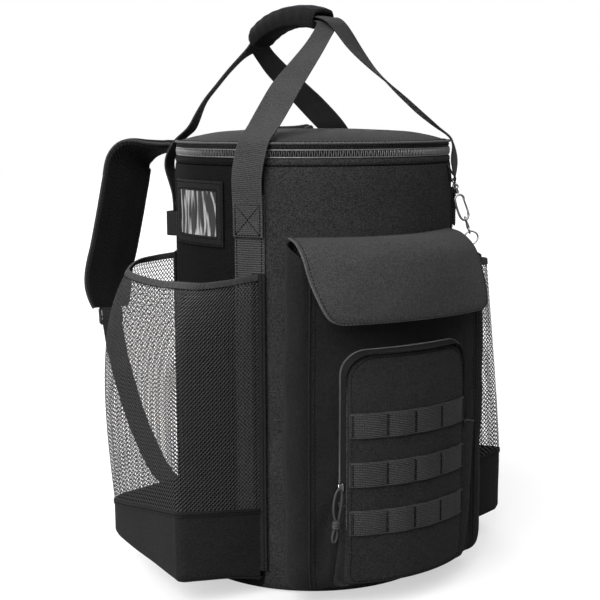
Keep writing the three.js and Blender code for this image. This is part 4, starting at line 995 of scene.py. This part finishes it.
angles = np.linspace(-ZIP_END, ZIP_END, 220)
lid_tape = Pattern().sheet(np.stack([polar(angles, r, z) for z, r in TAPE_PROFILE]), 1.3, MOUTH_HEART)
lid_tape.piece("lid_zip_tape", TAPE, "lid_zipper")
teeth_count = int(math.radians(2 * ZIP_END - 3) * MOUTH_RADIUS / TOOTH_PITCH)
teeth_angles = np.linspace(-ZIP_END + 1.5, ZIP_END - 1.5, teeth_count)
beat = np.where(np.arange(teeth_count) % 2, 1.0, -1.0)
teeth = polar(teeth_angles, 151.9, ZIP_MID + beat * 0.3)
upright = (0, 0, 1) + 0.12 * beat[:, None] * polar(teeth_angles + 90, 1, 0)
lid_coil = Pattern().bars(teeth, upright, polar(teeth_angles, 1, 0), length=6.2, width=0.95, height=0.9)
for height in (458.2, 465.6):
    lid_coil.tube(polar(angles, 151.6, height), 0.7, 8)
lid_coil.piece("lid_zip_coil", COIL)

back_angles = np.linspace(ZIP_END + 0.3, 360 - ZIP_END - 0.3, 110)
hinge = Pattern().sheet(np.stack([polar(back_angles, r, z) for z, r in TAPE_PROFILE]), CLOTH, MOUTH_HEART)
hinge.piece("lid_hinge_cloth", TUB_CLOTH, "lid_hinge")
spread = np.linspace(-2.4, 2.4, 12)
slider_face = np.stack([polar(SLIDER_ANGLE + spread * share, r, z) for z, share, r in SLIDER_PROFILE])
eye = eased([polar(SLIDER_ANGLE, r, z) for z, r in EYE_PROFILE], 20)
lid_slider = Pattern().sheet(slider_face, 1.5, MOUTH_HEART).tube(eye, 0.6, 8)
lid_slider.piece("lid_slider_body", NICKEL, "lid_slider")


# Lid
# A domed lid of the same cloth over thin foam, with a short skirt down to the zip and a piped edge
# sewn in the seam between top and skirt.

# Columns: height and radius
LID_DOME = [(486.0, 0.0), (485.8, 30.0), (485.1, 60.0), (482.6, 104.0), (478.4, 130.0), (475.0, 142.6),
            (473.6, 147.5), (472.7, 149.9), (472.2, 150.9)]
LID_SKIRT = [(471.2, 151.5), (469.4, 151.65), (467.4, 151.5), (467.1, 151.1), (467.1, 148.7), (469.0, 148.5)]
LID_UNDER = [(472.0, 141.5), (475.4, 128.0), (479.6, 102.0), (482.1, 58.0), (483.0, 0.0)]
DOME_ROWS = 44
LID_CLOTH = oxford("lid_cloth", 0.011, 0.036, sheen=0.04)
PIPING = oxford("piping_cloth", 0.05, 0.12, sheen=0.1)
lid_grid = turned(np.vstack([eased(LID_DOME, DOME_ROWS), LID_SKIRT, LID_UNDER]))
soft_top = lid_grid[:DOME_ROWS - 4]
sag = np.minimum(0.2, slack(soft_top, 130, 0.7, 5.0))
soft_top[..., 2] += sag * ramp(np.hypot(soft_top[..., 0], soft_top[..., 1]), 146, 126)
dome = lid_grid[:DOME_ROWS]
lid = Pattern().grid(dome, np.concatenate([dome, dome[:, :1]], 1)[..., :2], ring=True, flip=True)
lid.grid(lid_grid[DOME_ROWS - 1:], ring=True, flip=True).piece("lid_top", LID_CLOTH, "lid")
bead = Pattern().tube(polar(np.linspace(-180, 180, 240, endpoint=False), 152.6, 472.2), 1.25, ring=True)
bead.piece("lid_edge_piping", PIPING, "lid_piping")
rows = Pattern().stitches(polar(around, 147.9, 473.8), polar(around, 0.3, 1.0), 4.4, gap=1.2)
rows.stitches(polar(around, 151.75, 468.6), facing, 4.0).piece("lid_stitches", THREAD)


# Carry handles
# Two loops of the same webbing. Each is sewn to a front and a back strip with a crossed box, bows
# out past the lid, and folds narrower where both run together through the grip.

# Columns: turn from the strip, radius and height
HANDLE_LOW = {
    "front": [(0, 158.4, 378), (0, 158.4, 395), (0, 158.4, 412), (0, 160.8, 428), (0.3, 162, 441),
              (0.8, 160.4, 453), (1.4, 158.2, 464), (1.8, 157, 470.5), (2.1, 155.6, 475), (2.4, 150.8, 479.4),
              (2.6, 143, 483)],
    "back": [(0, 158.4, 378), (0, 158.4, 394), (0, 158.4, 410), (0, 163, 426), (0.3, 168.6, 441),
             (0.8, 168, 453), (1.4, 163.4, 464), (1.8, 159, 470.5), (2.1, 155.8, 475), (2.4, 150.8, 479.4),
             (2.6, 143, 483)],
}
GRIP_X, GRIP_WEB = -16.0, 20.0
# Columns: y and z
GRIP_LINE = [(-45, 601.5), (-16, 606.5), (16, 607.5), (46, 604), (70, 597), (90, 587.5)]
# Each has its level in the grip, then rows of x, y, z, width and twist before and after the grip
HANDLE_RUN = {
    "left": (-2.3, [(-83, -77, 528, 31.5, 43), (-41.5, -66, 569, 22, 41), (-23, -59, 589, 20, 41)],
             [(-27, 101, 574, 22, 48), (-48, 104, 553, 28, 55), (-80, 104, 518, 34, 57)]),
    "right": (2.3, [(93.2, -79.5, 499.7, 35, 62), (62.4, -76, 524, 34, 59), (33.9, -72.5, 547.1, 30, 46),
                    (18.1, -70, 562.6, 27, 33), (4, -67.5, 578, 24, 19), (-4.5, -64.5, 591, 20.5, 8),
                    (-11.5, -60, 600.5, 20, 0)],
              [(-5, 102, 575, 22, 41), (16, 105, 555, 28, 43), (62, 105, 518, 34, 46)]),
}
# The crossed box's corners, as shares of the half width and heights, and the rows between them
BOX_CORNERS = [(-0.84, 380), (0.84, 380), (0.84, 411), (-0.84, 411)]
BOX_RUNS = [(0, 1), (1, 2), (2, 3), (3, 0), (0, 2), (3, 1)]
HANDLE_WEB = webbing("handle_webbing", 0.011, 0.075, rib=1.9, ribbed=0.3)


def filled(rows, gap):
    """The same table with rows added in even steps wherever two lie further apart than the gap."""
    out = [rows[:1]]
    for a, b in zip(rows[:-1], rows[1:]):
        steps = max(1, int(np.ceil(np.linalg.norm(b[:3] - a[:3]) / gap)))
        out.append(a + (b - a) * np.arange(1, steps + 1)[:, None] / steps)
    return np.vstack(out)


def smoothed(rows, passes):
    for _ in range(passes):
        rows[1:-1] = (rows[:-2] + 2 * rows[1:-1] + rows[2:]) / 4
    return rows


def twisted(rows, lean):
    """Stations of a handle: its place, the way across it and its width."""
    return [[x, y, z, -math.cos(math.radians(twist)), lean * math.sin(math.radians(twist)), 0, wide]
            for x, y, z, wide, twist in rows]


first, second, *_, before_last, last = np.array(GRIP_LINE)
grip_run = [first + 0.35 * (first - second), *GRIP_LINE, last + 0.35 * (last - before_last)]
rows = Pattern()
for side, sign in SIDES:
    level, before_grip, after_grip = HANDLE_RUN[side]
    stations = []
    for turn, radius, height in HANDLE_LOW["front"]:
        angle = sign * (FRONT_ANGLE - turn)
        bow = math.exp(-((height - TUB_TOP) / 17) ** 2) if side == "right" else 0.0
        across = -polar(angle - 20 * bow + 90, 1, 0)
        stations.append([*polar(angle, radius - 2.2 * bow, height), *across, WEB_WIDTH])
    stations += twisted(before_grip, -sign)
    stations += [[GRIP_X, y, z + level, -1, 0, 0, GRIP_WEB] for y, z in grip_run]
    stations += twisted(after_grip, sign)
    for turn, radius, height in HANDLE_LOW["back"][::-1]:
        angle = sign * (BACK_ANGLE + turn)
        stations.append([*polar(angle, radius, height), *polar(angle + 90, 1, 0), WEB_WIDTH])
    run = smoothed(eased(filled(np.array(stations), 9.0), 300), 24)
    line, wide = run[:, :3], run[:, 6:, None]
    along = unit(np.gradient(line, axis=0))
    across = squared(run[:, 3:6], along)
    out = np.cross(along, across)[:, None]
    spread = np.linspace(-0.5, 0.5, 11)
    curl = 1.25 * ramp(wide, WEB_WIDTH, WEB_WIDTH - 15)
    face = line[:, None] + across[:, None] * spread[:, None] * wide
    face += out * (0.9 - curl * 2 * spread[:, None] ** 2)
    lay = ruled(spread * WEB_WIDTH, run_of(line))
    flip = np.sum(grid_normals(face) * out) < 0
    behind = face - grid_normals(face) * (-CLOTH if flip else CLOTH)
    ribbon = Pattern().grid(face, lay, flip=flip).grid(behind, lay, flip=not flip)
    for column, past in ((0, -0.5), (-1, 0.5)):
        middle = (face[:, column] + behind[:, column]) / 2 + across * past
        ribbon.grid(np.stack([face[:, column], middle, behind[:, column]], 1), flip=column == 0)
    for row in (0, -1):
        ribbon.grid(np.stack([face[row], behind[row]]))
    ribbon.piece(f"carry_handle_{side}", HANDLE_WEB, f"handle_strap_{side}")
    for angle in (sign * FRONT_ANGLE, sign * BACK_ANGLE):
        corners = [polar(angle, 159.4, z) + polar(angle + 90, a * WEB_WIDTH / 2, 0) for a, z in BOX_CORNERS]
        for start, end in BOX_RUNS:
            rows.stitches(np.array([corners[start], corners[end]]), polar(angle, 1, 0), 3.2, gap=0.5,
                          width=1.2, height=0.5)
rows.piece("handle_box_stitches", THREAD)


# Grip
# A padded cloth sleeve wrapped round both handle loops and closed along its underside.

GRIP_ROWS, UNDERSIDE = 46, 27
GRIP_CLOTH = oxford("grip_cloth", 0.004, 0.014, "padding", thread=1.2, shine=0.1)
grip_path = np.array([(GRIP_X, y, z) for y, z in eased(GRIP_LINE, GRIP_ROWS)])
grip_along = unit(np.gradient(grip_path, axis=0))
grip_up = np.cross((1, 0, 0), grip_along)
grip_up *= np.sign(grip_up[:, 2:])


def sleeve(wide, tall, swell):
    """Loops round the grip's line, between round and square."""
    cos, sin = circle(40)
    square = 1 / np.maximum(np.abs(cos), np.abs(sin)) ** 0.35
    a, b = (cos * square * wide)[:, None], (sin * square * tall)[:, None]
    return grip_path[:, None] + (a * (1, 0, 0) + grip_up[:, None] * b) * swell[:, None, None]


row_numbers = np.arange(GRIP_ROWS)
to_end = np.minimum(row_numbers, row_numbers[::-1])
outer = sleeve(15.5, 12.0, 1 - 0.1 * np.exp(-to_end / 1.5) + 0.015 * np.sin(row_numbers * 1.1))
hole = sleeve(12.6, 5.8, np.ones(GRIP_ROWS))
grip = Pattern().grid(outer, ring=True).grid(hole, ring=True, flip=True)
for row, past in ((0, -1.2), (-1, 1.2)):
    lip = (outer[row] + hole[row]) / 2 + grip_along[row] * past
    grip.grid(np.stack([outer[row], lip, hole[row]]), ring=True, flip=row == 0)
grip_piece = grip.piece("grip_sleeve", GRIP_CLOTH, "handle_grip")
rows = Pattern()
for row in (3, GRIP_ROWS - 4):
    ring = closed(outer[row])
    rows.stitches(ring, ring - grip_path[row], 3.8)
line = outer[2:-2, UNDERSIDE]
rows.stitches(line, line - grip_path[2:-2], 3.8).piece("grip_stitches", THREAD)


# Shoulder straps
# Two padded straps, faced with a chevron air net and bound along both edges. They arch back from
# the top of the tub, and each ends in a moulded ladder buckle with a webbing tail to the tub's foot.

# Columns: x, y, z and the share of the crest
PAD_LINE = [(56, 160, 422, 0), (57, 164, 446.5, 0.5), (64, 176, 464, 0.9), (80, 194.5, 465, 1),
            (106, 215.5, 460, 0.8), (121.5, 226, 447, 0.4), (127, 229.5, 420, 0.1), (133, 232.5, 386, 0),
            (141, 235.5, 345, 0), (150, 237.5, 304, 0), (151.5, 231, 266, 0)]
CREST = {"left": 0.0, "right": 16.0}
PAD_WIDE, PAD_THICK, PAD_ROWS, PAD_COLUMNS = 60.0, 11.0, 90, 40
# Columns: x, y, z and the turn from straight back
TAIL_LINE = [(151.6, 224.5, 243, 0), (148.5, 214, 200, 0), (138, 190, 130, 0), (122, 164, 72, 0),
             (107, 143.5, 50, 12), (92.9, 132.7, 37, 28), (88.3, 128.5, 31, 34.5), (87.6, 127.4, 19, 34.5)]
# Columns: both ends, each across and down, and the radius
LOCK_BARS = [(-13.8, -9, 13.8, -9, 2.0), (13.8, -9, 13.8, 9, 2.0), (13.8, 9, -13.8, 9, 2.0),
             (-13.8, 9, -13.8, -9, 2.0), (-13.8, 1.2, 13.8, 1.2, 1.8), (-13.8, 6.2, 13.8, 6.2, 1.6)]

AIR_NET = Finish("chevron_air_net", "padding")
u, v = AIR_NET.lay()
zig = abs((u * (1 / 30.0)).part() - 0.5) * 2.0
stripe = ((v * (1 / 3.1) + zig * 3.0) * ROUND).wave()
cell = (u * (ROUND / 2.1)).wave() * (v * (ROUND / 2.1)).wave()
shade = stripe * 0.3 + cell * 0.2 + AIR_NET.cloud(40.0) * 0.5 + 0.15
AIR_NET.show(Base_Color=AIR_NET.tones(shade, 0.003, 0.012), Roughness=0.8 + cell * 0.08)
AIR_NET.show(Sheen_Weight=0.02, Specular_IOR_Level=0.12)
AIR_NET.relief(stripe + cell * 0.5, 0.7, 0.9)

MOULDED = Finish("moulded_plastic", "moulded_plastic")
grain = MOULDED.cloud(1.6, 3.0)
MOULDED.show(Base_Color=MOULDED.tones(grain, 0.008, 0.022), Roughness=0.35 + grain * 0.15)
MOULDED.relief(grain, 0.05, 0.5)

row_numbers = np.arange(PAD_ROWS)
taper = 1 - 0.12 * np.exp(-np.minimum(row_numbers, row_numbers[::-1]) / 1.6)[:, None, None]
narrow = 1 - 0.26 * ramp(row_numbers, 81, 89)[:, None] ** 2
cos, sin = circle(PAD_COLUMNS)
soft = 1 / np.maximum(np.abs(cos), np.abs(sin)) ** 0.75
a, b = cos * soft * PAD_WIDE / 2, sin * soft * PAD_THICK / 2
b *= 0.94 * (1 + 0.12 * np.cos(np.pi * np.clip(a / PAD_WIDE, -0.5, 0.5)))
for side, sign in SIDES:
    table = np.array(PAD_LINE, float)
    table[:, 2] += table[:, 3] * CREST[side]
    path = eased(table[:, :3] * (sign, 1, 1), PAD_ROWS)
    along = unit(np.gradient(path, axis=0))
    wide = squared(np.array([sign, 0, 0]), along)
    proud = np.cross(along, wide)
    skin = path[:, None] + (wide * narrow)[:, None] * a[:, None] + proud[:, None] * b[:, None] * taper
    pad = Pattern().grid(skin, ruled(np.append(a, a[0]), run_of(path)), ring=True, flip=sign < 0)
    for row, flip in ((0, sign > 0), (-1, sign < 0)):
        rings = [skin[row] * share + path[row] * (1 - share) for share in (1.0, 0.4, 0.0)]
        pad.grid(np.stack(rings), ring=True, flip=flip)
    pad_piece = pad.piece(f"shoulder_strap_{side}", AIR_NET, f"shoulder_pad_{side}")
    binding = Pattern()
    for reach in (-1, 1):
        binding.tube(path + wide * reach * (PAD_WIDE / 2 - 0.4) * narrow, 2.1)
    binding.piece(f"shoulder_strap_binding_{side}", BAND_WEB)

    end, down, cross = path[-1], along[-1], wide[-1]
    lock = Pattern()
    for a0, b0, a1, b1, radius in LOCK_BARS:
        ends = [end + cross * across + down * (10.5 + below) for across, below in ((a0, b0), (a1, b1))]
        lock.tube(even(np.array(ends), 3.0), radius)
    lock.piece(f"ladder_buckle_{side}", MOULDED, f"ladder_lock_{side}")

    under = proud[-1] * -3.2 * np.sign(proud[-1, 1])
    behind = [[*(end + down * t + under), 0.0] for t in (-4.0, 8.0, 18.0)]
    route = eased(np.vstack([behind, np.array(TAIL_LINE, float) * (sign, 1, 1, 1)]), 110)
    tail, tail_turn = route[:, :3], np.radians(route[:, 3])
    flat_across = np.stack([sign * np.cos(tail_turn), -np.sin(tail_turn), 0 * tail_turn], -1)
    tail_wide = squared(flat_across, unit(np.gradient(tail, axis=0)))
    spread = np.linspace(-12.5, 12.5, 9)
    face = tail[:, None] + tail_wide[:, None] * spread[:, None]
    web = Pattern().sheet(face, 1.5, (0, 0, 150), lay=ruled(spread, run_of(tail)))
    web.piece(f"shoulder_tail_{side}", BAND_WEB, f"shoulder_web_{side}")


# Snap clip
# A nickel-plated clip on a folded cloth tab under the mouth band: ring, swivel, wire hook with a
# sprung gate, a second swivel and an end ring. The gate swings in on its own hinge.

CLIP_TOP, CLIP_FOOT, CLIP_SCALE = np.array([104.6, -120.6, 430.0]), np.array([116.5, -139.5, 364.0]), 1.2
# Columns: angle, radius and height
TAB_LINE = [(38.4, 154.4, 447.6), (39.4, 157.8, 440), (40.6, 161.8, 433), (40.9, 161.2, 428.6),
            (40.8, 158.4, 427.8), (40.4, 156.5, 431), (39.9, 155.9, 437)]
# Columns: across and up from the clip's top
HOOK = [(3.6, -19.6), (3.9, -17.2), (2.6, -14.8), (0, -14), (-2.8, -15.2), (-4.2, -18.5), (-4.6, -26),
        (-4, -33.5), (-2, -37), (1.2, -37.2), (3.4, -34.6), (4, -31.8)]
GATE = [(4.1, -31.2), (4.0, -27.4), (3.8, -23.6), (3.6, -20.0)]
END_RING = [(0, -48.4), (3, -49.4), (5.6, -52.2), (6, -55.4), (4, -58.6), (0, -60.4), (-4, -58.6),
            (-6, -55.4), (-5.6, -52.2), (-3, -49.4), (0, -48.4)]
WIRE, BARREL_RADIUS = 0.95, 1.45

angle, radius, height = eased(TAB_LINE, 40).T[..., None]
tab_face = polar(angle, radius, height) + polar(angle + 90, np.linspace(-4.0, 4.0, 9), 0)
Pattern().sheet(tab_face, 0.8, (104, -121, 434)).piece("clip_cloth_tab", POCKET_CLOTH, "clip_tab")

clip_up = unit(CLIP_TOP - CLIP_FOOT)
clip_right = squared(np.array([0.845, -0.534, 0.0]), clip_up)
clip_back = np.cross(clip_up, clip_right)


def on_clip(x, y, z):
    """Points of the clip, across, behind and up from its top."""
    x, y, z = (part[..., None] for part in np.broadcast_arrays(x, y, z))
    return CLIP_TOP + CLIP_SCALE * (x * clip_right + y * clip_back + z * clip_up)


def closed_wire(pattern, line, radius=WIRE):
    pattern.tube(even(closed(line), 0.6)[:-1], radius, ring=True)


def barrel(pattern, low, high):
    """A swivel's turned barrel with a groove near its top."""
    steps = [(high, 0), (high, 0.6), (high - 0.3, 1), (high - 1, 1), (high - 1.2, 0.8), (high - 1.5, 0.8),
             (high - 1.7, 1.05), (low + 0.5, 1.05), (low + 0.2, 0.9), (low, 0.6), (low, 0)]
    cos, sin = circle(20)
    loops = [on_clip(BARREL_RADIUS * share * cos, BARREL_RADIUS * share * sin, z) for z, share in steps]
    pattern.grid(np.stack(loops), ring=True, flip=True)


cos, sin = circle(48)
ring_across = polar(130.9, 1, 0)
ring_up = squared(clip_up, ring_across)
ring, swivel, link, end_ring = Pattern(), Pattern(), Pattern(), Pattern()
closed_wire(ring, CLIP_TOP + ring_across * 5.8 * cos[:, None] + ring_up * (4.6 * sin - 2.6)[:, None], 0.8)
ring.piece("clip_top_ring", NICKEL, "clip_ring")
closed_wire(swivel, on_clip(2.0 * cos, 0, -6 + 2.2 * sin))
barrel(swivel, -12.6, -7.6)
swivel.piece("clip_upper_swivel", NICKEL, "clip_swivel")
x, z = eased(HOOK, 90).T
Pattern().tube(on_clip(x, 0, z), 1.28, 12).piece("clip_wire_hook", NICKEL, "clip_hook")
x, z = eased(GATE, 30).T
gate = Pattern().tube(on_clip(x, 0, z), np.where(np.arange(30) < 4, 1.15, 1.0), 12)
gate.piece("clip_spring_gate", NICKEL, "clip_gate", body="gate")
closed_wire(link, on_clip(0, 2.4 * cos, -38.3 + 3.4 * sin))
barrel(link, -46, -40.8)
closed_wire(link, on_clip(0, 2.2 * cos, -47.6 + 2.6 * sin))
link.piece("clip_lower_swivel", NICKEL, "clip_link")
x, z = eased(END_RING, 70)[:-1].T
closed_wire(end_ring, on_clip(x, 0, z))
end_ring.piece("clip_end_ring_wire", NICKEL, "clip_end_ring")


# Floor, light and camera
# A plain pale floor under soft studio light, seen from the front left and a little above.

FLOOR_HALF = 9.0
PALE = Finish("pale_floor", None)
seen = PALE.node("ShaderNodeLightPath")
plain = PALE.tones(PALE.cloud(300.0, 3.0), 0.4, 0.43)
PALE.show(Base_Color=PALE.blend(seen, grey(0.2), plain), Roughness=0.6)
PALE.show(Emission_Color=PALE.tones(seen, 0.0, 0.55), Emission_Strength=1.0)
floor_mesh = bpy.data.meshes.new("floor")
floor_corners = [(x * FLOOR_HALF, y * FLOOR_HALF, 0) for x, y in ((-1, -1), (1, -1), (1, 1), (-1, 1))]
floor_mesh.from_pydata(floor_corners, [], [(0, 1, 2, 3)])
floor_mesh.materials.append(PALE.material)
floor_piece = bpy.data.objects.new("floor", floor_mesh)
bpy.context.scene.collection.objects.link(floor_piece)

SKY_LIGHT, SKY_SEEN = 0.13, 1.0
sky = bpy.data.worlds.new("studio")
sky.use_nodes = True
glow = sky.node_tree.nodes["Background"]
glow.inputs["Color"].default_value = (1, 1, 1, 1)
rays = sky.node_tree.nodes.new("ShaderNodeLightPath")
level = sky.node_tree.nodes.new("ShaderNodeMapRange")
level.inputs["To Min"].default_value, level.inputs["To Max"].default_value = SKY_LIGHT, SKY_SEEN
sky.node_tree.links.new(rays.outputs["Is Camera Ray"], level.inputs["Value"])
sky.node_tree.links.new(level.outputs["Result"], glow.inputs["Strength"])
bpy.context.scene.world = sky
bpy.context.scene.view_settings.view_transform = "Standard"

# Columns: name, angle round from the front, angle up, spread and power
SUNS = [("key", -69, 35, 54, 3.9), ("top", -20, 80, 90, 2.1), ("rear", 165, 12, 44, 1.4)]
for name, azimuth, elevation, spread, power in SUNS:
    lamp = bpy.data.lights.new(name, "SUN")
    lamp.energy, lamp.angle = power, math.radians(spread)
    sun = bpy.data.objects.new(name, lamp)
    sun.rotation_euler = (math.radians(90 - elevation), 0, math.radians(azimuth))
    bpy.context.scene.collection.objects.link(sun)

LENS, SENSOR = 69.6, 36.0
LOOK_FROM = (-0.7137, -1.1025, 0.4948)
LOOK_TURN, LOOK_DOWN, LOOK_ROLL = 32.3, 8.8, 0.2
view = bpy.data.cameras.new("photo_view")
view.lens, view.sensor_width = LENS, SENSOR
camera = bpy.data.objects.new("photo_view", view)
camera.location = LOOK_FROM
camera.rotation_mode = "XYZ"
camera.rotation_euler = (math.radians(90 - LOOK_DOWN), math.radians(LOOK_ROLL), math.radians(-LOOK_TURN))
bpy.context.scene.collection.objects.link(camera)
bpy.context.scene.camera = camera
